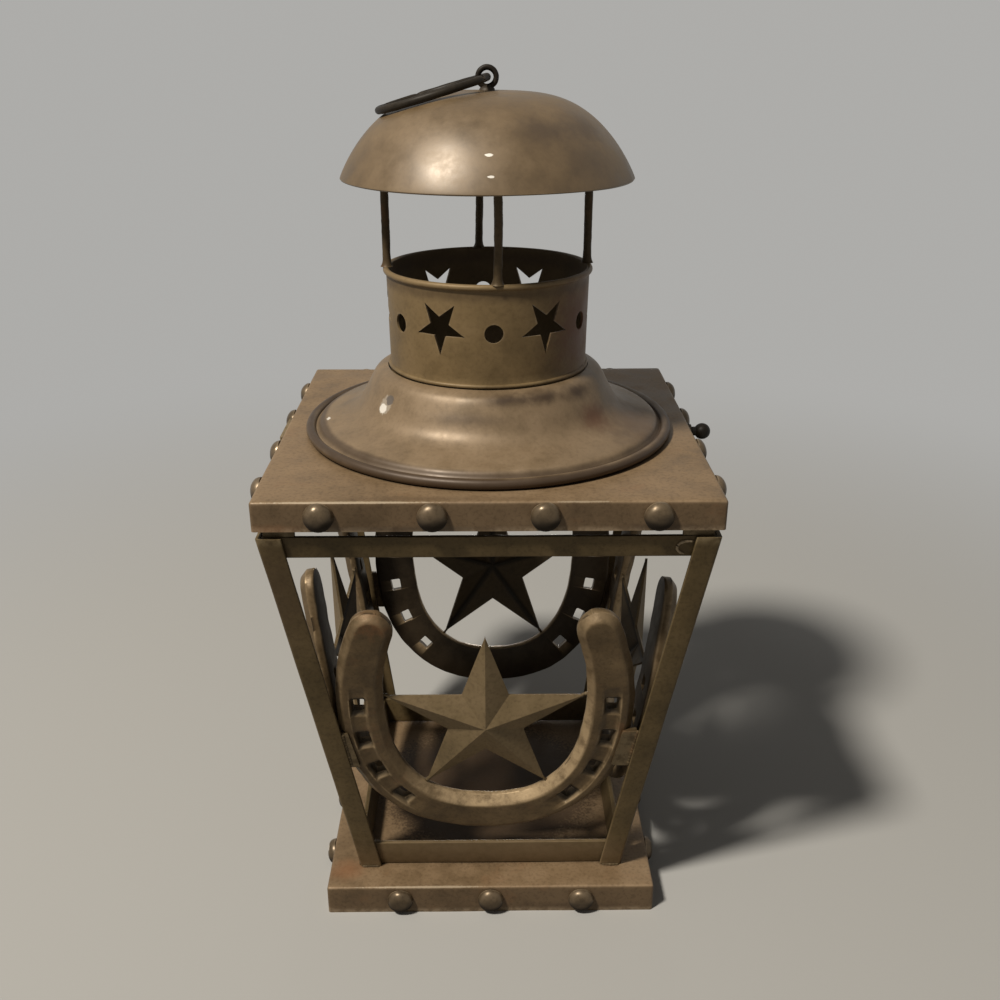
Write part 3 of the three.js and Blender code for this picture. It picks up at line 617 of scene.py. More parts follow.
def patina(
    name, tones, worn_and_lit, rough, metal=0.15, shine=0.3, wear=0.5, rub_and_light=0.0, upright=0.0, rust=0.0, soot_and_shade=0.0,
    grain=0.2, fleck=0.4, under=0.0, spots=(), rings=(),
):
    """Aged bronze paint on steel: cloudy tones, specks, edge wear, rust, soot, spots, painted shade and
    painted light.
    """
    material, tree, shader = new_material(name)
    coordinates = tree.nodes.new("ShaderNodeTexCoord")
    place = coordinates.outputs["Object"]
    upwards = node(tree, "ShaderNodeSeparateXYZ", {0: coordinates.outputs["Normal"]}, "Z")

    clouds = noise_at(tree, place, 17, 3)
    mottle = noise_at(tree, place, 85, 6, 0.62)
    specks = noise_at(tree, place, 640, 3)
    colour = ramp(tree, weighted(tree, clouds, 0.5, mottle, 0.5), list(zip((0.36, 0.5, 0.66), tones)))
    flecks = ramp(tree, specks, [(0.32, FLECK), (0.52, (1, 1, 1))])
    colour = blend(tree, fleck, colour, flecks, "MULTIPLY")

    # Painted shade: upright faces darker than level ones
    if upright > 0:
        shade = remap(tree, maths(tree, "ABSOLUTE", upwards), 0.3, 0.85, upright, 0.0)
        colour = blend(tree, shade, colour, UPRIGHT_SHADE, "MULTIPLY")
    if rust > 0:
        patches = remap(tree, noise_at(tree, place, 48, 5, 0.7), 0.56, 0.72, 0.0, rust)
        colour = blend(tree, patches, colour, RUST)

    edge = remap(tree, stored(tree, "wear"), 0.05, 0.3, 0.0, wear)
    broken = remap(tree, noise_at(tree, place, 230, 4, 0.65), 0.36, 0.6, 0.15, 1.0)
    worn_share = maths(tree, "MULTIPLY", edge, broken)
    colour = blend(tree, worn_share, colour, worn_and_lit)
    # Rubbing on the horseshoes, with painted light where they face up or left
    if rub_and_light > 0:
        patchy = remap(tree, noise_at(tree, place, 120, 5, 0.68), 0.32, 0.6, 0.2, rub_and_light)
        colour = lay(tree, colour, stored(tree, "rub_and_light"), patchy, worn_and_lit)

    # Painted shade in corners and between parts, from ambient occlusion
    corner_shade = node(tree, "ShaderNodeAmbientOcclusion", {"Distance": 7 * MM}, "AO", samples=6)
    colour = blend(tree, remap(tree, corner_shade, 0.15, 0.5, 0.7, 0.0), colour, PAINTED_SHADE)
    # Soot, with painted shade, on faces that look inwards and down
    if soot_and_shade > 0:
        colour = lay(tree, colour, stored(tree, "soot_and_shade"), soot_and_shade, SOOT_AND_SHADE)
    # Painted shade on faces that look down, with a rougher surface there
    underside_shade = remap(tree, upwards, -0.4, 0.4, under, 0.0)
    colour = blend(tree, underside_shade, colour, PAINTED_SHADE)
    # Painted shade in the nail hollows and in the folds behind the stars
    colour = lay(tree, colour, stored(tree, "hollow"), 0.8, PAINTED_CREASE_SHADE)

    for centre, reach, tint, strength, soft in spots:
        colour = lay(tree, colour, spot_mask(tree, place, centre, reach, soft), strength, tint)
    for centre, radius, reach, tint, strength in rings:
        colour = lay(tree, colour, ring_mask(tree, place, centre, radius, reach), strength, tint)

    gloss = remap(tree, mottle, 0.3, 0.7, rough - 0.06, rough + 0.08)
    gloss = maths(tree, "SUBTRACT", gloss, maths(tree, "MULTIPLY", worn_share, 0.1))
    relief = weighted(tree, mottle, 0.6, specks, 0.4)
    bump = {"Strength": grain, "Distance": 0.6 * MM, "Height": relief}
    surface = {
        "Base Color": colour,
        "Roughness": maths(tree, "MAXIMUM", gloss, underside_shade),
        "Metallic": metal,
        "Specular IOR Level": shine,
        "Normal": node(tree, "ShaderNodeBump", bump, "Normal"),
    }
    feed(tree, shader, surface)
    return material


# Finishes: tints, spots and the list

RUST = (0.24, 0.095, 0.035)
# Tint of painted shade
PAINTED_SHADE = (0.018, 0.012, 0.007)
# Tint of soot with painted shade
SOOT_AND_SHADE = (0.016, 0.011, 0.007)
# Tint of painted shade in hollows and folds
PAINTED_CREASE_SHADE = (0.006, 0.004, 0.002)
FLECK = (0.45, 0.42, 0.4)
UPRIGHT_SHADE = (0.5, 0.48, 0.46)
# Bare metal at chips, and painted glints
BARE_AND_GLINT = (0.85, 0.8, 0.72)
DARK_BROWN = (0.05, 0.03, 0.017)
RED_BROWN = (0.12, 0.05, 0.025)
DEEP_BROWN = (0.1, 0.06, 0.033)
PALE_CHIP = (0.4, 0.34, 0.27)
DARK_CHIP = (0.12, 0.1, 0.085)
PALE_BROWN = (0.21, 0.148, 0.085)
# Pale tone of edge wear with a painted highlight
WORN_EDGE_AND_HIGHLIGHT = (0.42, 0.34, 0.24)
WORN_SHEET = (0.42, 0.32, 0.21)
WORN_BAR = (0.34, 0.26, 0.15)

# Each spot: its middle, its reach, its tint, its strength, and whether it fades out slowly
COLLAR_SPOTS = [
    # Painted shadow under the chimney's lip, on the front right of the neck
    ((8, -48, 235.3), (16, 7, 3.6), DARK_BROWN, 0.9, True),
    ((22, -43.5, 235.3), (14, 9, 3.8), DARK_BROWN, 0.9, True),
    ((36, -33, 234.4), (12, 12, 4.2), DARK_BROWN, 0.9, True),
    # Painted shade on the right side
    ((44, -34, 224), (13, 13, 8), RED_BROWN, 0.8, True),
    # A painted dark reflection on the steep front of the neck
    ((-10, -51, 228.5), (26, 9, 3.5), DARK_BROWN, 0.5, True),
    # Painted shade on the right side
    ((62, -20, 216), (30, 36, 15), DEEP_BROWN, 0.8, True),
    ((-42.2, -31.4, 228.4), (4.6, 3.6, 4.4), PALE_CHIP, 0.8, False),
    ((-40.4, -32.0, 230.6), (2.6, 2.6, 2.2), DARK_CHIP, 0.9, False),
    ((-43.6, -31.2, 226.8), (2.6, 2.8, 1.9), BARE_AND_GLINT, 0.9, False),
    ((-68.5, -11.5, 215.4), (1.6, 2.6, 1.0), BARE_AND_GLINT, 0.9, False),
]
HOOD_SPOTS = [
    # Two small near-white marks on the front of the hood
    ((0.5, -52.0, 328.5), (1.7, 1.0, 0.6), BARE_AND_GLINT, 1.0, False),
    ((1.2, -56.6, 321.5), (1.4, 0.9, 0.5), BARE_AND_GLINT, 1.0, False),
    # Dark smudges on the upper part, with painted shade on the right
    ((20, -41, 336), (16, 12, 8), DARK_BROWN, 0.55, True),
    ((36, -27, 336), (22, 15, 8), DARK_BROWN, 0.6, True),
    ((42, -40, 326), (26, 20, 12), DARK_BROWN, 0.4, True),
    ((-12, -14, 347), (18, 13, 4), DARK_BROWN, 0.4, True),
]
CHIMNEY_SPOTS = [
    # Painted shade on the right side
    ((38, -20, 260), (24, 28, 30), RED_BROWN, 0.9, True),
    # Painted shade in a band under the rim
    ((0, 0, 275.4), (140, 140, 4), DARK_BROWN, 0.6, True),
]
FRAME_SPOTS = [
    # Painted light on the front of the foot rail, bounced up from the base
    ((0, -62, 21), (110, 12, 17), PALE_BROWN, 0.8, True),
    ((-82, -84, 165), (14, 14, 42), DARK_BROWN, 0.5, True),
]
TRAY_SPOTS = [
    # Soot, with painted shade, on the floor inside the frame
    ((0, 0, 14), (57, 57, 6), DARK_BROWN, 0.75, False),
    ((0, 0, 14), (70, 70, 6), DARK_BROWN, 0.6, True),
    ((-66, -62, 14), (12, 10, 4), RUST, 0.5, True),
    ((-20, -86, 209), (60, 4, 3), DARK_BROWN, 0.35, True),
    ((-82, -89, 198), (15, 4, 3), RUST, 0.35, True),
    # Dark streaks along the roof's lower front edge, partly painted shade
    ((-30, -89, 198.2), (56, 4, 2), DARK_BROWN, 0.7, True),
    ((64, -89, 198.6), (26, 4, 2.4), DARK_BROWN, 0.6, True),
    # Pale lines along the roof's front edge, mostly on the left: wear and painted highlight
    ((-52, -89, 209.2), (42, 1.1, 0.6), WORN_EDGE_AND_HIGHLIGHT, 0.7, False),
    ((34, -89, 209.2), (16, 1.0, 0.6), WORN_EDGE_AND_HIGHLIGHT, 0.5, False),
    ((38, -74, 3), (30, 4, 3), DARK_BROWN, 0.45, True),
    # A pale line along the base's front top edge: wear and painted highlight
    ((-30, -74, 14), (44, 1.1, 0.6), WORN_EDGE_AND_HIGHLIGHT, 0.5, False),
]
# A painted glint on the front rivet of the base's left side
RIVET_GLINT = [((-77.4, -41, 9.6), (2.4, 3.0, 1.7), BARE_AND_GLINT, 0.9, False)]

# Each ring: the line through its middle, its radius, its reach, its tint and its strength
# Painted shade in the groove beside the bead and on the bead's outer side
COLLAR_RINGS = [
    ((1.5, -0.8), 74.0, 2.8, DARK_BROWN, 0.75),
    ((0.8, -0.5), 78.8, 3.4, DARK_BROWN, 0.9),
]

# Each finish: its dark, middle and pale tones, the tint of its edge wear and rubbed, painted-lit sides, and
# how strong each effect is
FINISHES = {
    "tray": patina(
        "tray_patina", [(0.16, 0.106, 0.056), (0.235, 0.158, 0.088), (0.285, 0.196, 0.114)], WORN_SHEET,
        rough=0.48, upright=0.8, soot_and_shade=0.8, rust=0.14, spots=TRAY_SPOTS,
    ),
    "collar": patina(
        "collar_patina", [(0.168, 0.117, 0.066), (0.232, 0.163, 0.096), (0.276, 0.197, 0.12)], WORN_SHEET,
        rough=0.45, metal=0.2, shine=0.42, wear=0.3, soot_and_shade=0.8, grain=0.08, fleck=0.2,
        spots=COLLAR_SPOTS, rings=COLLAR_RINGS,
    ),
    "hood": patina(
        "hood_patina", [(0.11, 0.07, 0.031), (0.152, 0.098, 0.045), (0.192, 0.127, 0.062)],
        (0.33, 0.25, 0.16), rough=0.44, metal=0.22, shine=0.95, wear=0.25, soot_and_shade=0.8, grain=0.03,
        fleck=0.15, spots=HOOD_SPOTS,
    ),
    "band": patina(
        "chimney_patina", [(0.13, 0.087, 0.038), (0.195, 0.133, 0.062), (0.235, 0.163, 0.081)],
        (0.37, 0.28, 0.18), rough=0.48, soot_and_shade=0.5, fleck=0.25, spots=CHIMNEY_SPOTS,
    ),
    "frame": patina(
        "frame_patina", [(0.07, 0.048, 0.02), (0.108, 0.075, 0.034), (0.145, 0.102, 0.05)], WORN_BAR,
        rough=0.5, shine=0.2, spots=FRAME_SPOTS,
    ),
    "shoe": patina(
        "horseshoe_patina", [(0.062, 0.04, 0.018), (0.108, 0.071, 0.034), (0.155, 0.105, 0.054)],
        (0.46, 0.335, 0.195), rough=0.45, metal=0.3, wear=0.6, rub_and_light=0.85, rust=0.3, soot_and_shade=0.85, grain=0.42,
    ),
    "fixing": patina(
        "weld_patina", [(0.045, 0.03, 0.014), (0.072, 0.049, 0.024), (0.105, 0.073, 0.038)], WORN_BAR,
        rough=0.52, shine=0.2, wear=0.3, rust=0.25, grain=0.3,
    ),
    "bead": patina(
        "bead_patina", [(0.2, 0.15, 0.09), (0.3, 0.225, 0.14), (0.38, 0.29, 0.185)], (0.5, 0.4, 0.27),
        rough=0.5, grain=0.3,
    ),
    "star": patina(
        "star_patina", [(0.11, 0.077, 0.037), (0.165, 0.117, 0.059), (0.21, 0.15, 0.081)], WORN_BAR,
        rough=0.52, wear=0.0, soot_and_shade=0.5,
    ),
    "rivet": patina(
        "rivet_patina", [(0.088, 0.062, 0.035), (0.14, 0.1, 0.059), (0.188, 0.137, 0.086)], WORN_SHEET,
        rough=0.35, metal=0.45, shine=0.4, under=0.95, spots=RIVET_GLINT,
    ),
    "wire": patina(
        "dark_steel", [(0.008, 0.006, 0.004), (0.015, 0.011, 0.007), (0.03, 0.023, 0.015)],
        (0.14, 0.11, 0.08), rough=0.5, metal=0.1, shine=0.2, wear=0.3,
    ),
}


# Trays and rivets


def upright_edges(build):
    return [edge for edge in build.edges if abs(edge.verts[0].co.z - edge.verts[1].co.z) > MM]


def tray(name, half, foot, top):
    """A square tray of bent sheet, open below."""
    build = bmesh.new()
    bmesh.ops.create_cube(build, size=2.0)
    for vertex in build.verts:
        height = top if vertex.co.z > 0 else foot
        vertex.co = Vector((vertex.co.x * half, vertex.co.y * half, height)) * MM
    open_face = [face for face in build.faces if face.normal.z < -0.5]
    bmesh.ops.delete(build, geom=open_face, context="FACES_ONLY")
    upright = upright_edges(build)
    level = [edge for edge in build.edges if edge not in upright]
    bmesh.ops.subdivide_edges(build, edges=level, cuts=39, use_grid_fill=True)
    bmesh.ops.subdivide_edges(build, edges=upright_edges(build), cuts=3, use_grid_fill=True)
    bends = [edge for edge in build.edges if len(edge.link_faces) == 2 and edge.calc_face_angle() > 1]
    bmesh.ops.bevel(build, geom=bends, offset=BEND * MM, segments=4, profile=0.5, affect="EDGES")
    mesh = bpy.data.meshes.new(name)
    build.to_mesh(mesh)
    build.free()
    roughen(mesh, "tray")
    made = object_of(name, mesh)
    thicken(made, even=True)
    settle(made)
    return made


def rivet_shape(height, fullness):
    """A rivet with a round head; a smaller fullness makes the head flatter, with a rounder edge."""
    profile = [(0, -SHEET - RIVET_TAIL), (RIVET_SHANK, -SHEET - RIVET_TAIL), (RIVET_SHANK, 0)]
    profile += [(RIVET_RADIUS - 0.5, 0), (RIVET_RADIUS - 0.1, 0.25)]
    for share in shares(9):
        angle = share * pi / 2
        reach = RIVET_RADIUS * cos(angle) ** fullness if share < 1 else 0.0
        profile.append((reach, CLEARANCE + height * sin(angle)))
    return placed(lathe(profile, 28), TO_FRONT)


def add_rivets(prefix, half, places, height, shape, body):
    for side, side_name in enumerate(SIDES):
        for i, across in enumerate(places):
            solid = f"{prefix}_rivet_{side_name}_{i + 1}"
            place = side_turn(side) @ Matrix.Translation((across, -half, height))
            add_piece(f"{solid}_head", placed(shape, place), "rivet", body, [solid], "rivet")


def add_trays():
    base = tray("base_pressing", BASE_HALF, 0, BASE_TOP)
    dress(base, "tray", "body", ["base_tray"])
    roof = tray("roof_pressing", ROOF_HALF, FLANGE_FOOT, ROOF_TOP)
    cut(roof, prism(circle(VENT_RADIUS, 96), ROOF_TOP - 4 * SHEET, ROOF_TOP + 2 * SHEET))
    dress(roof, "tray", "roof", ["roof_tray"])
    base_rivet = rivet_shape(BASE_RIVET_HEIGHT, BASE_RIVET_FULLNESS)
    add_rivets("base", BASE_HALF, BASE_RIVETS, BASE_TOP / 2, base_rivet, "body")
    roof_rivet = rivet_shape(ROOF_RIVET_HEIGHT, ROOF_RIVET_FULLNESS)
    add_rivets("roof", ROOF_HALF, ROOF_RIVETS, (FLANGE_FOOT + ROOF_TOP) / 2, roof_rivet, "roof")


# Frame


def angle_section(start, leg, thickness, bend, bend_inside, edge):
    """Outline of an angle bar with two equal legs from its outer corner."""
    tip = start + leg
    inner = start + thickness
    corners = [(start, start), (tip, start), (tip, inner), (inner, inner), (inner, tip), (start, tip)]
    return rounded(corners, [bend, edge, edge, bend_inside, edge, edge])


def post_shape(corner):
    section = angle_section(0, POST_LEG, POST_THICKNESS, POST_BEND, POST_BEND_INSIDE, POST_EDGE)
    rings = []
    for share in shares(44):
        height = mix(FRAME_FOOT, FRAME_TOP, share)
        edge = -frame_half(height)
        rings.append([(edge + x, edge + y, height) for x, y in section])
    return placed(skin(rings), side_turn(corner))


def hoop_shape(low, high):
    """A square hoop of flat bar just inside the posts, which leans with them."""
    inner = POST_INSET + BAR_THICKNESS
    section = rounded([(POST_INSET, low), (POST_INSET, high), (inner, high), (inner, low)], BAR_EDGE)
    rings = []
    for side in range(len(SIDES)):
        for share in shares(34)[:-1]:
            ring = []
            for inset, height in section:
                half = frame_half(height) - inset
                ring.append(side_turn(side) @ Vector((mix(-half, half, share), -half, height)))
            rings.append(ring)
    return skin(rings, loop=True)


def corner_tab(corner):
    """An upright angle on the top hoop, which carries the roof."""
    outer = -(frame_half(TAB_FOOT) - POST_INSET)
    outline = angle_section(outer, TAB_LEG, BAR_THICKNESS, TAB_BEND, TAB_EDGE, TAB_EDGE)
    return placed(prism(outline, TAB_FOOT, TAB_TOP), side_turn(corner))


def add_frame():
    for corner, name in enumerate(CORNERS):
        solid = f"corner_post_{name}"
        add_piece(f"post_{name}", post_shape(corner), "frame", "body", [solid], "post")
    foot = hoop_shape(FRAME_FOOT, FOOT_BAR_TOP)
    add_piece("foot_rail", foot, "frame", "body", ["foot_hoop"], "rail")
    tabs = [corner_tab(corner) for corner in range(len(CORNERS))]
    top = joined(hoop_shape(TOP_BAR_FOOT, FRAME_TOP), *tabs)
    add_piece("top_rail", top, "frame", "body", ["top_hoop"], "rail")


# Horseshoes


def post_edge(height):
    """Inner edge of a post at a height up the panel."""
    return frame_half(FRAME_FOOT + height * cos(LEAN)) - POST_LEG


SHOE_HALF = post_edge(SHOE_WIDEST) - abs(SHOE_SHIFT) - SHOE_SIDE_GAP - WEB_AT_SIDE / 2
SHOE_LINE_TOE = SHOE_TOE + WEB_AT_TOE / 2
HEEL_RADIUS = WEB_AT_HEEL / 2


def shoe_line_point(t):
    """Middle of the web, from the toe at 0 to the right heel at 1."""
    if t > TOE_SHARE:
        climb = (t - TOE_SHARE) / (1 - TOE_SHARE)
        return Vector((SHOE_HALF - HEEL_INSET * climb * climb, mix(SHOE_WIDEST, SHOE_HEEL, climb)))
    angle = t / TOE_SHARE * pi / 2
    power = 2 / SHOE_ROUNDNESS
    drop = (SHOE_WIDEST - SHOE_LINE_TOE) * max(cos(angle), 0.0) ** power
    return Vector((SHOE_HALF * sin(angle) ** power, SHOE_WIDEST - drop))


def measured_line():
    """Points along the right half of the web's middle, with their distances from the toe."""
    points = [shoe_line_point(share) for share in shares(1200)]
    distances = [0.0]
    for before, after in zip(points, points[1:]):
        distances.append(distances[-1] + (after - before).length)
    return points, distances


LINE_POINTS, LINE_DISTANCES = measured_line()
SHOE_BRANCH = LINE_DISTANCES[-1]


def shoe_station(distance):
    """Place on the middle line and the outward direction there; distances on the left are negative."""
    target = min(abs(distance), SHOE_BRANCH)
    low = min(bisect_right(LINE_DISTANCES, target), len(LINE_DISTANCES) - 1) - 1
    high = low + 1
    span = LINE_DISTANCES[high] - LINE_DISTANCES[low]
    point = LINE_POINTS[low].lerp(LINE_POINTS[high], (target - LINE_DISTANCES[low]) / span)
    window = 6
    first = max(low - window, 0)
    last = min(high + window, len(LINE_POINTS) - 1)
    along = (LINE_POINTS[last] - LINE_POINTS[first]).normalized()
    if low < window:
        along = along.lerp(Vector((1, 0)), 1 - low / window).normalized()
    across = Vector((along.y, -along.x))
    if distance < 0:
        return Vector((-point.x, point.y)), Vector((-across.x, across.y))
    return point, across


def full_half_web(distance):
    """Half of the web's width before it rounds off at the heel."""
    from_toe = abs(distance)
    side = mix(WEB_AT_TOE, WEB_AT_SIDE, smooth(0, WEB_SWELL, from_toe))
    return mix(side, WEB_AT_HEEL, smooth(WEB_SWELL, SHOE_BRANCH, from_toe)) / 2


def past_heel(distance):
    """How far a place lies beyond the middle of the heel's round end."""
    return max(HEEL_RADIUS - (SHOE_BRANCH - abs(distance)), 0.0)


def soft_drop(depth):
    """A chamfer's drop, with its upper edge rounded."""
    ease = 0.3
    return (depth + sqrt(depth * depth + ease * ease)) / 2


def crease_share(distance):
    """1 along the nails and 0 past the ends of the crease."""
    from_toe = abs(distance)
    start = FIRST_NAIL - NAIL_PITCH / 2
    end = FIRST_NAIL + NAIL_PITCH * (NAILS_PER_BRANCH - 0.5)
    begun = smooth(start - CREASE_FADE, start + CREASE_FADE, from_toe)
    return begun * (1 - smooth(end - CREASE_FADE, end + CREASE_FADE, from_toe))


def nail_sink(offset, distance):
    """Depth of the hollow round the nearest nail hole."""
    across = abs(offset - CREASE_SHIFT) / (SINK_WIDTH / 2)
    along = min(abs(abs(distance) - nail) for nail in NAIL_DISTANCES) / (SINK_LENGTH / 2)
    return SINK_DEPTH * (1 - smooth(0.62, 1.0, max(across, along)))


def shoe_front_depth(offset, distance):
    """Depth of the front face across the web: bevelled edges, a crease and a hollow at each nail."""
    full = full_half_web(distance)
    margin = full - hypot(offset, past_heel(distance))
    inner_bevel = mix(BEVEL_AT_TOE, BEVEL_AT_HEEL, smooth(0, WEB_SWELL, abs(distance)))
    bevel = mix(inner_bevel, OUTER_BEVEL, smooth(-0.4 * full, 0.4 * full, offset))
    drop = soft_drop(bevel - max(margin, 0.0))
    from_middle = abs(offset - CREASE_SHIFT) / (CREASE_WIDTH / 2)
    crease = CREASE_DEPTH * crease_share(distance) * (1 - smooth(0.7, 1.0, from_middle))
    return SHOE_FRONT - max(drop, crease + nail_sink(offset, distance))


def shoe_section(distance):
    """Points round the web at a distance from the toe: the front, the outer wall, back and inner wall."""
    full = full_half_web(distance)
    half = sqrt(max(full * full - past_heel(distance) ** 2, 0.05))
    samples = 36
    section = []
    for i in range(samples + 1):
        offset = -half * cos(pi * i / samples)
        section.append((offset, shoe_front_depth(offset, distance)))
    edge = min(1.0, half * 0.4)
    middle = (SHOE_BACK + section[-1][1]) / 2
    wall = [(half, middle), (half, SHOE_BACK + edge)]
    wall += [(half - edge * 0.3, SHOE_BACK + edge * 0.3), (half - edge, SHOE_BACK)]
    return section + wall + [(0, SHOE_BACK)] + [(-offset, depth) for offset, depth in reversed(wall)]


def shoe_distances():
    """Where the sections stand, from the left heel to the right one, closer together round the heels."""
    heel_start = SHOE_BRANCH - HEEL_RADIUS
    steps = 176
    branch = [heel_start * i / steps for i in range(1, steps + 1)]
    for share in shares(14)[1:]:
        branch.append(heel_start + HEEL_RADIUS * sin(share * pi / 2) * 0.998)
    return [-distance for distance in reversed(branch)] + [0.0] + branch


def shoe_bar():
    rings = []
    for distance in shoe_distances():
        centre, across = shoe_station(distance)
        ring = []
        for offset, depth in shoe_section(distance):
            flat = centre + across * offset
            ring.append((flat.x, flat.y, depth))
        rings.append(ring)
    return skin(rings)


NAIL_STATIONS = [shoe_station(branch * nail) for nail in NAIL_DISTANCES for branch in (-1, 1)]


def nail_holes():
    half_width = NAIL_WIDTH / 2
    half_length = NAIL_LENGTH / 2
    outline = rounded(rectangle(-half_width, -half_length, half_width, half_length), NAIL_EDGE)
    hole = prism(outline, SHOE_BACK - 2, SHOE_FRONT + 2)
    holes = []
    for centre, across in NAIL_STATIONS:
        turn = Matrix.Rotation(atan2(across.y, across.x), 4, "Z")
        middle = centre + across * CREASE_SHIFT
        holes.append(placed(hole, Matrix.Translation((middle.x, middle.y, 0)) @ turn))
    return joined(*holes)


def rubbed_and_lit(vertex):
    """How far a horseshoe's surface turns away from its front at a point, for rubbing with painted light:
    it counts most where it faces up or left, towards the lamp, little where it faces down or right, and
    less on the heels than at the toe."""
    turned = 1 - smooth(0.78, 0.95, vertex.normal.z)
    faces_light = 0.8 * vertex.normal.y - 0.6 * vertex.normal.x
    share = mix(LEAST_RUB_AND_LIGHT, 1.0, smooth(-0.25, 0.45, faces_light))
    return turned * share * mix(1.0, HEEL_RUB_AND_LIGHT, smooth(70, 125, vertex.co.y / MM))


def nail_hollow_shade(vertex):
    """Painted shade in the hollow round each nail hole, less at its rim."""
    if vertex.normal.z <= -0.5:
        return 0.0
    flat = Vector((vertex.co.x, vertex.co.y)) / MM
    depth = 0.0
    for centre, across in NAIL_STATIONS:
        apart = flat - centre
        over = abs(apart.dot(across) - CREASE_SHIFT) / (SINK_WIDTH / 2)
        along = abs(apart.x * across.y - apart.y * across.x) / (SINK_LENGTH / 2)
        depth = max(depth, 1 - smooth(0.8, 1.0, max(over, along)))
    return depth


def shoe_mesh():
    """One horseshoe, in the panel's plane."""
    made = object_of("shoe", mesh_of("shoe", shoe_bar()))
    cut(made, nail_holes())
    store(made.data, "rub_and_light", [rubbed_and_lit(vertex) for vertex in made.data.vertices])
    store(made.data, "hollow", [nail_hollow_shade(vertex) for vertex in made.data.vertices])
    roughen(made.data, "shoe")
    roughen(made.data, "whole_shoe")
    return bare_mesh(made)


def shoe_reach(height):
    """Outer edge of the right branch at a height up the panel."""
    samples = 400
    for i in range(samples):
        distance = SHOE_BRANCH * i / samples
        centre, across = shoe_station(distance)
        edge = centre + across * full_half_web(distance)
        if edge.y >= height:
            return edge.x
    return SHOE_HALF


def lug_corners(branch, rise):
    """The plate that ties a branch to the post beside it, in the panel's plane."""
    corners = []
    for height, outer in ((LUG_LOW, False), (LUG_LOW, True), (LUG_HIGH, True), (LUG_HIGH, False)):
        reach = post_edge(height + rise) - CLEARANCE - branch * SHOE_SHIFT
        corners.append((branch * (reach if outer else shoe_reach(height) - LUG_BITE), height))
    return corners


def lug(branch, rise):
    outline = []
    corners = rounded(lug_corners(branch, rise), LUG_EDGE)
    for before, after in zip(corners, corners[1:] + corners[:1]):
        outline += [before.lerp(after, share) for share in shares(8)[:-1]]
    return prism(outline, LUG_FRONT - LUG_THICKNESS, LUG_FRONT, cells=3)


# Stars


def fold_shade(vertex):
    """Painted shade along the folds to the star's points, on the back, where they are hollow."""
    if vertex.normal.z >= 0:
        return 0.0
    fifth = 2 * pi / 5
    flat = Vector((vertex.co.x, vertex.co.y)) / MM
    turn = atan2(flat.x, flat.y) / fifth
    return 1 - smooth(0.5, 2.4, flat.length * abs(sin((turn - round(turn)) * fifth)))


def star_mesh():
    """One pressed star, about its own middle in the panel's plane."""
    points = [(x, y, 0) for x, y in star_outline(STAR_RADIUS)] + [(0, 0, STAR_RISE)]
    faces = [(i, (i + 1) % 10, 10) for i in range(10)]
    mesh = bpy.data.meshes.new("star")
    mesh.from_pydata([Vector(point) * MM for point in points], [], faces)
    made = object_of("star", mesh)
    grid = made.modifiers.new("grid", "SUBSURF")
    grid.subdivision_type = "SIMPLE"
    grid.levels = 5
    thicken(made)
    edges = made.modifiers.new("edges", "BEVEL")
    edges.width = 0.25 * MM
    edges.segments = 2
    edges.limit_method = "ANGLE"
    edges.angle_limit = radians(40)
    settle(made)
    store(made.data, "hollow", [fold_shade(vertex) for vertex in made.data.vertices])
    return bare_mesh(made)


# Weld beads


def weld(points, radius, seed):
    """A lumpy bead along a short path."""
    path = []
    for before, after in zip(points, points[1:]):
        steps = max(int((after - before).length / 0.45), 2)
        path += [before.lerp(after, share) for share in shares(steps)[:-1]]
    path.append(points[-1])
    radii = []
    for i, point in enumerate(path):
        ripple = 0.82 + 0.18 * abs(sin(i * 0.9 + seed))
        lump = 1 + 0.35 * noise.noise(point * 0.45 + Vector((seed, 0, 0)))
        ends = min(1.0, 0.45 + 0.3 * min(i, len(path) - 1 - i))
        radii.append(radius * ripple * lump * ends)
    return tube(path, radii, 10)


def panel_welds(side):
    """Beads where the lugs meet the posts and where the star's points meet the horseshoe."""
    beads = []
    for branch in (-1, 1):
        low, high = lug_corners(branch, PANEL_RISES[side])[1:3]
        ends = [Vector((x, y, LUG_FRONT - 0.4)) for x, y in (low, high)]
        beads.append(weld(ends, LUG_WELD, side + branch))
    outline = star_outline(STAR_RADIUS)
    middle = Vector((0, STAR_HEIGHT, STAR_DEPTH - 0.5))
    for point in (2, 4, 6, 8):
        tip = Vector((*outline[point], 0)) + middle
        inward = (middle - tip).normalized()
        beads.append(weld([tip - inward * 1.6, tip + inward * 2.4], STAR_WELD, side + point))
    return joined(*beads)


def rail_weld():
    """The thin bead shaped like a C at the right end of the front top rail."""
    middle = (FRAME_TOP - FRAME_FOOT) / cos(LEAN) - RAIL_WELD_DROP
    path = []
    for degrees in range(62, 253, 19):
        across = RAIL_WELD_ACROSS + RAIL_WELD_WIDTH / 2 * cos(radians(degrees))
        height = middle + RAIL_WELD_HEIGHT / 2 * sin(radians(degrees))
        path.append(Vector((across, height, RAIL_WELD_DEPTH)))
    return weld(path, RAIL_WELD, 3)


def post_welds(corner):
    """Beads along the two legs of a post where it stands on the base."""
    edge = -FOOT_HALF
    height = FRAME_FOOT + 0.2
    beads = []
    gap = -POST_WELD_GAP
    for first, last in (((1, gap), (POST_LEG - 1, gap)), ((gap, 1), (gap, POST_LEG - 1))):
        ends = [Vector((edge + x, edge + y, height)) for x, y in (first, last)]
        beads.append(weld(ends, POST_WELD, corner + first[0]))
    return placed(joined(*beads), side_turn(corner))


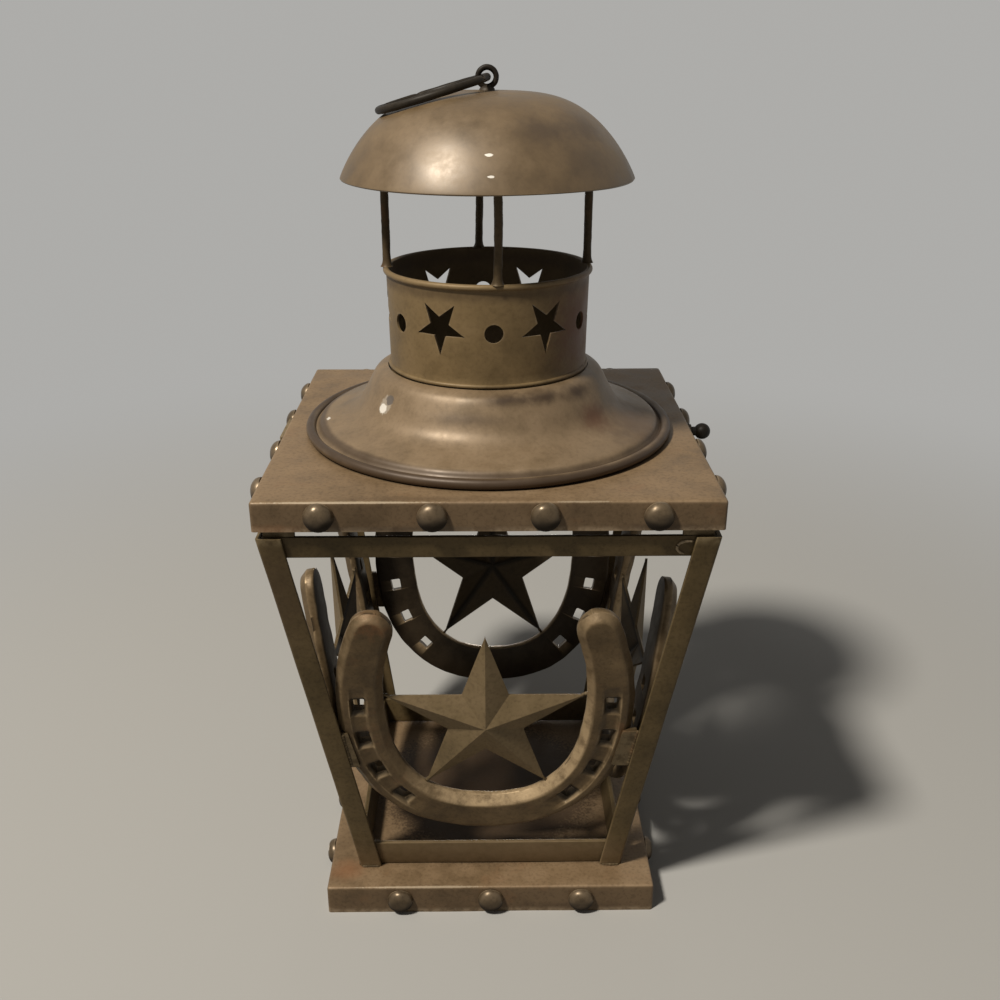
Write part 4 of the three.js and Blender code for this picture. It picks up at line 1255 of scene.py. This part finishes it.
def add_panels():
    bare_shoe = shoe_mesh()
    bare_star = star_mesh()
    for side, name in enumerate(SIDES):
        to_frame = panel_place(side)
        rise = PANEL_RISES[side]
        shift = Matrix.Translation((SHOE_SHIFT, rise, 0))
        inside = side_turn(side) @ Vector((0, 1, 0))
        in_metres = Matrix.Scale(MM, 4) @ to_frame @ shift @ Matrix.Scale(1 / MM, 4)
        shoe = bare_shoe.copy()
        shoe.transform(in_metres)
        made = object_of(f"shoe_{name}", shoe)
        dress(made, "shoe", "body", [f"horseshoe_{name}"], crease=50, inside=inside)
        star = bare_star.copy()
        lift = Matrix.Translation(Vector((0, STAR_HEIGHT, STAR_DEPTH)) * MM)
        star.transform(in_metres @ lift)
        made = object_of(f"pressed_star_{name}", star)
        dress(made, "star", "body", [f"star_{name}"], crease=9, inside=inside)
        lugs = joined(lug(-1, rise), lug(1, rise), panel_welds(side))
        fixings = joined(placed(lugs, to_frame @ shift), post_welds(side))
        add_piece(f"fixings_{name}", fixings, "fixing", "body", wave="fixing")
    add_piece("rail_bead", placed(rail_weld(), panel_place(0)), "bead", "body")


# Collar, chimney and hood


def spline(points, steps):
    """A smooth line through points, with a number of steps between each two."""
    line = []
    for i in range(len(points) - 1):
        p0 = Vector(points[max(i - 1, 0)])
        p1 = Vector(points[i])
        p2 = Vector(points[i + 1])
        p3 = Vector(points[min(i + 2, len(points) - 1)])
        for t in shares(steps)[:-1]:
            even = p1 * 2 + (p2 - p0) * t + (p0 * 2 - p1 * 5 + p2 * 4 - p3) * t * t
            line.append((even + (p1 * 3 - p0 - p2 * 3 + p3) * t * t * t) / 2)
    line.append(Vector(points[-1]))
    return line


def arc(centre, radius, start, end, steps):
    """Points on a circle in the plane of radius and height, with angles in degrees."""
    points = []
    for share in shares(steps):
        angle = radians(mix(start, end, share))
        points.append(Vector((centre[0] + radius * cos(angle), centre[1] + radius * sin(angle))))
    return points


def offset_inwards(line, thickness):
    """The same line moved to its left by a thickness."""
    moved = []
    for i, point in enumerate(line):
        before = line[max(i - 1, 0)]
        after = line[min(i + 1, len(line) - 1)]
        along = (after - before).normalized()
        moved.append(point + Vector((-along.y, along.x)) * thickness)
    return moved


def add_collar():
    middle = COLLAR_FOOT + COLLAR_BEAD
    foot_radius = COLLAR_RADIUS - 2 * COLLAR_BEAD
    top_radius = COLLAR_NECK + COLLAR_SHEET
    control = [(mix(foot_radius, top_radius, i), mix(middle, COLLAR_TOP, u)) for i, u in COLLAR_SWEEP]
    hidden_in_bead = 5
    sweep = spline(control, 9)[hidden_in_bead:]
    bead = arc((COLLAR_RADIUS - COLLAR_BEAD, middle), COLLAR_BEAD, -90, 170, 18)
    inside = offset_inwards(sweep, COLLAR_SHEET)
    profile = bead + sweep + list(reversed(inside)) + [Vector((foot_radius - 2, COLLAR_FOOT))]
    add_piece("spun_collar", lathe(profile, 160), "collar", "roof", ["collar"], "collar")


def cutters():
    """The stars and round holes that are cut out of the chimney, in turn."""
    depth = 5.0
    star = star_outline(CUT_STAR_RADIUS, pi)
    hole = circle(CUT_HOLE_RADIUS, 24)
    step = 2 * pi / CUTOUTS
    shapes = []
    for i in range(CUTOUTS):
        for outline, height, share in ((hole, CUT_HOLE_HEIGHT, 0.0), (star, CUT_STAR_HEIGHT, 0.5)):
            place = Matrix.Translation((0, -CHIMNEY_RADIUS, CHIMNEY_FOOT + height))
            turn = Matrix.Rotation(CUTOUT_TURN + (i + share) * step, 4, "Z")
            shapes.append(placed(prism(outline, -depth, depth), turn @ place @ TO_FRONT))
    return joined(*shapes)


def add_chimney():
    top_radius = CHIMNEY_RADIUS + CHIMNEY_FLARE
    lip = arc((CHIMNEY_RADIUS + 0.2, COLLAR_TOP + CHIMNEY_LIP + 0.1), CHIMNEY_LIP, -90, 90, 8)
    wall_foot = COLLAR_TOP + 3 * CHIMNEY_LIP
    wall_top = CHIMNEY_TOP - 2.6 * CHIMNEY_BEAD
    inner_top = Vector((top_radius - CHIMNEY_SHEET, wall_top))
    inner_foot = Vector((CHIMNEY_RADIUS - CHIMNEY_SHEET, CHIMNEY_FOOT))
    wall = []
    inner = []
    for share in shares(16):
        wall.append(Vector((mix(CHIMNEY_RADIUS, top_radius, share), mix(wall_foot, wall_top, share))))
        inner.append(inner_top.lerp(inner_foot, share))
    rim = arc((top_radius, CHIMNEY_TOP - CHIMNEY_BEAD), CHIMNEY_BEAD, -85, 150, 14)
    profile = [Vector((CHIMNEY_RADIUS, CHIMNEY_FOOT))] + lip + wall + rim + inner
    made = object_of("chimney_band", mesh_of("chimney_band", lathe(profile, 144)))
    cut(made, cutters())
    roughen(made.data, "chimney")
    dress(made, "band", "roof", ["chimney"])


def hood_height(radius):
    share = min(abs(radius) / HOOD_RADIUS, 1.0)
    return HOOD_RISE * (1 - share**HOOD_FULLNESS) ** HOOD_STEEPNESS


def add_hood():
    hole = EYE_SHANK + CLEARANCE
    outside = []
    for share in shares(56):
        radius = hole + (HOOD_RADIUS - hole) * cos(share * pi / 2)
        outside.append(Vector((radius, HOOD_RIM + hood_height(radius))))
    inside = offset_inwards(outside, HOOD_SHEET)
    hem = (outside[0] + inside[0]) / 2 + Vector((0.15, -0.35))
    profile = [hem] + outside + list(reversed(inside))
    add_piece("spun_hood", lathe(profile, 144), "hood", "roof", ["hood"], "hood")


def wire_shape(side):
    """A wire that stands on the chimney's rim in a small weld and runs up under the hood."""
    foot = CHIMNEY_TOP - 0.2
    path = []
    radii = []
    for even in shares(40):
        share = even**1.4
        height = mix(foot, WIRE_TOP, share)
        sway = 0.35 * sin(share * pi * 1.3 + side)
        path.append(Vector((sway, -WIRE_CIRCLE, height)))
        flare = 0.95 * exp(-(height - foot) / 1.1) + 0.7 * exp(-(WIRE_TOP - height) / 1.2)
        radii.append(WIRE_RADIUS + flare)
    turn = Matrix.Rotation(WIRE_TURN, 4, "Z")
    return placed(tube(path, radii, 18), turn @ side_turn(side))


def add_hood_wires():
    for side, name in enumerate(SIDES):
        solid = f"hood_wire_{name}"
        add_piece(f"wire_{name}", wire_shape(side), "fixing", "roof", [solid], "wire")


# Eye and carrying ring


def add_eye():
    steps = 48
    loop_path = circle_path(
        Vector((0, 0, EYE_CENTRE)), EYE_RADIUS, steps, Vector((1, 0, 0)), Vector((0, 0, 1)),
    )
    loop = tube(loop_path, [EYE_WIRE] * steps, 16, loop=True)
    top = HOOD_RIM + HOOD_RISE
    under = top - HOOD_SHEET - CLEARANCE
    shank = [(0, under - 0.5), (EYE_SHANK, under - 0.5), (EYE_SHANK, top + 1.2), (0, top + 1.6)]
    seat = [(0.6, top + 0.1), (3.2, top + 0.1), (2.9, top + 0.9), (1.9, top + 1.7), (0.6, top + 2.0)]
    washer = [
        (0.6, under - 1), (EYE_WASHER - 0.2, under - 1), (EYE_WASHER, under - 0.8),
        (EYE_WASHER, under - 0.2), (EYE_WASHER - 0.2, under), (0.6, under),
    ]
    shape = joined(loop, lathe(shank, 24), lathe(seat, 24), lathe(washer, 32))
    add_piece("eye_loop", shape, "wire", "roof", ["hanging_eye"], "eye")


def add_ring():
    """The ring, with a small notch where its ends meet."""
    steps = 128
    path = circle_path(
        Vector((-RING_RADIUS, 0, 0)), RING_RADIUS, steps, Vector((1, 0, 0)), Vector((0, 1, 0)),
    )
    joint = int(steps * 0.31)
    radii = []
    for i in range(steps):
        apart = abs(i - joint)
        radii.append(RING_WIRE - 0.3 * exp(-(apart / 0.9) ** 2))
    place = Matrix.Translation((0, 0, EYE_CENTRE)) @ Matrix.Rotation(-RING_DIP, 4, "Y")
    shape = placed(tube(path, radii, 18, loop=True), place)
    add_piece("ring_bar", shape, "wire", "handle_ring", ["carry_ring"], "ring")


# Hinge and lift knob, drawn on the front and turned to their sides


def on_hinge_line(shape):
    """Lays a shape turned about Z along the hinge's axis."""
    return placed(shape, Matrix.Translation((0, -HINGE_REACH, HINGE_HEIGHT)) @ TO_RIGHT)


def knuckle(start, end):
    outline = rectangle(PIN_RADIUS + CLEARANCE, start, KNUCKLE_RADIUS, end)
    return on_hinge_line(lathe(rounded(outline, [0.2, 0.3, 0.3, 0.2]), 32))


def leaf_rivets(depth, height):
    """Two small flat rivet heads on a leaf."""
    head = lathe([(0, 0), (1.7, 0), (1.6, 0.35), (1.0, 0.6), (0, 0.7)], 20)
    return [placed(head, Matrix.Translation((across, depth, height)) @ TO_FRONT) for across in LEAF_RIVETS]


def roof_leaf_shape():
    inside = -(ROOF_HALF + CLEARANCE)
    outside = -(ROOF_HALF + CLEARANCE + LEAF_THICKNESS)
    foot = HINGE_HEIGHT + KNUCKLE_RADIUS + CLEARANCE
    plate = block((-HINGE_HALF, outside, foot), (HINGE_HALF, inside, ROOF_TOP - 1.4))
    finger_foot = HINGE_HEIGHT + 1.6
    finger = block((-HINGE_MIDDLE, outside, finger_foot), (HINGE_MIDDLE, inside, foot + LEAF_THICKNESS))
    return joined(plate, finger, knuckle(-HINGE_MIDDLE, HINGE_MIDDLE), *leaf_rivets(outside, foot + 4.4))


def frame_leaf_shape():
    top = HINGE_HEIGHT + LEAF_THICKNESS / 2
    foot = FRAME_TOP - 8
    rivet_height = foot + 4
    rings = []
    for share in shares(6):
        height = mix(foot, top, share)
        back = POST_THICKNESS - frame_half(height)
        outline = rounded(rectangle(-HINGE_HALF, back - LEAF_THICKNESS, HINGE_HALF, back), LEAF_EDGE)
        rings.append([(x, y, height) for x, y in outline])
    parts = [skin(rings)]
    edge = POST_THICKNESS - frame_half(top)
    bridge_end = -HINGE_REACH + PIN_RADIUS + 1.0
    start = HINGE_MIDDLE + CLEARANCE
    for low, high in ((-HINGE_HALF, -start), (start, HINGE_HALF)):
        parts.append(block((low, bridge_end, top - LEAF_THICKNESS), (high, edge, top)))
        parts.append(knuckle(low, high))
    face = POST_THICKNESS - frame_half(rivet_height) - LEAF_THICKNESS
    return joined(*parts, *leaf_rivets(face, rivet_height))


def pin_shape():
    shoulder = HINGE_HALF + CLEARANCE
    end = shoulder + PIN_HEAD_HEIGHT
    half = [(0, -end), (PIN_HEAD - 0.5, -end), (PIN_HEAD, -end + 0.4)]
    half += [(PIN_HEAD, -shoulder), (PIN_RADIUS, -shoulder)]
    return on_hinge_line(lathe(half + [(radius, -z) for radius, z in reversed(half)], 24))


def add_hinge():
    turn = side_turn(SIDES.index("left"))
    for name, shape, finish, body, solid in (
        ("roof_leaf", roof_leaf_shape(), "frame", "roof", "hinge_roof_leaf"),
        ("frame_leaf", frame_leaf_shape(), "frame", "body", "hinge_frame_leaf"),
        ("pin_rod", pin_shape(), "rivet", "body", "hinge_pin"),
    ):
        add_piece(name, placed(shape, turn), finish, body, [solid])


def add_knob():
    tail = SHEET + RIVET_TAIL
    middle = KNOB_REACH - KNOB_RADIUS
    profile = [(0, -tail), (KNOB_STEM, -tail), (KNOB_STEM, CLEARANCE), (KNOB_SHOULDER, CLEARANCE)]
    profile += [(KNOB_SHOULDER, CLEARANCE + 0.7), (KNOB_SHOULDER - 0.3, CLEARANCE + 1)]
    profile.append((KNOB_STEM, CLEARANCE + 1.1))
    start = asin(KNOB_STEM / KNOB_RADIUS)
    for share in shares(16):
        angle = mix(start, pi, share)
        profile.append((KNOB_RADIUS * sin(angle), middle - KNOB_RADIUS * cos(angle)))
    place = side_turn(SIDES.index("right")) @ Matrix.Translation((0, -ROOF_HALF, KNOB_HEIGHT))
    shape = placed(placed(lathe(profile, 32), TO_FRONT), place)
    add_piece("knob_turning", shape, "wire", "roof", ["lift_knob"], "knob")


# Stage, light and camera


def seen_share(tree):
    """1 for rays from the camera, a glossy surface or glass, and 0 for light that falls on the object."""
    rays = tree.nodes.new("ShaderNodeLightPath")
    mirrored = maths(tree, "MAXIMUM", rays.outputs["Is Glossy Ray"], rays.outputs["Is Transmission Ray"])
    return maths(tree, "MAXIMUM", rays.outputs["Is Camera Ray"], mirrored)


def show(tree, share, first, second, output):
    """Sends a mix of two shaders to an output node."""
    both = node(tree, "ShaderNodeMixShader", {0: share, 1: first, 2: second})
    feed(tree, tree.nodes[output], {"Surface": both})


def add_stage():
    """A pale floor that fades into the pale background some way off."""
    corners = rectangle(-FLOOR_REACH, -FLOOR_REACH, FLOOR_REACH, FLOOR_REACH)
    mesh = bpy.data.meshes.new("floor")
    mesh.from_pydata([(x, y, 0) for x, y in corners], [], [(0, 1, 2, 3)])
    material, tree, shader = new_material("pale_floor")
    seen = seen_share(tree)
    feed(tree, shader, {"Base Color": blend(tree, seen, FLOOR_TINT, BACKGROUND), "Roughness": 0.95})
    place = tree.nodes.new("ShaderNodeTexCoord").outputs["Object"]
    far = remap(tree, length(tree, place), *FLOOR_FADE, 0.0, 1.0)
    glow = node(tree, "ShaderNodeEmission", {"Color": (*BACKGROUND, 1)})
    show(tree, maths(tree, "MULTIPLY", far, seen), shader.outputs["BSDF"], glow, "Material Output")
    mesh.materials.append(material)
    object_of("floor", mesh)


def add_lamp(name, place, size, power, colour):
    lamp = bpy.data.lights.new(name, "AREA")
    lamp.shape = "DISK"
    lamp.size = size
    lamp.energy = power
    lamp.color = colour
    made = object_of(name, lamp)
    made.location = place
    aim = Vector(LAMP_AIM) - Vector(place)
    made.rotation_euler = aim.to_track_quat("-Z", "Y").to_euler()


def add_light():
    world = bpy.data.worlds.new("studio")
    bpy.context.scene.world = world
    world.use_nodes = True
    tree = world.node_tree
    soft = tree.nodes["Background"]
    feed(tree, soft, {"Color": (*SOFT_LIGHT, 1), "Strength": SOFT_STRENGTH})
    pale = node(tree, "ShaderNodeBackground", {"Color": (*BACKGROUND, 1)})
    show(tree, seen_share(tree), soft.outputs["Background"], pale, "World Output")
    for name, lamp in LAMPS.items():
        add_lamp(name, **lamp)


def add_camera():
    data = bpy.data.cameras.new("camera")
    data.sensor_width = CAMERA_SENSOR
    data.lens = CAMERA_LENS
    camera = object_of("camera", data)
    camera.location = Vector(CAMERA_PLACE) * MM
    camera.rotation_euler = (radians(90 - CAMERA_DIP), 0, radians(CAMERA_TURN))
    bpy.context.scene.camera = camera


add_trays()
add_frame()
add_panels()
add_collar()
add_chimney()
add_hood()
add_hood_wires()
add_eye()
add_ring()
add_hinge()
add_knob()
add_stage()
add_light()
add_camera()
bpy.context.scene.view_settings.view_transform = "Standard"
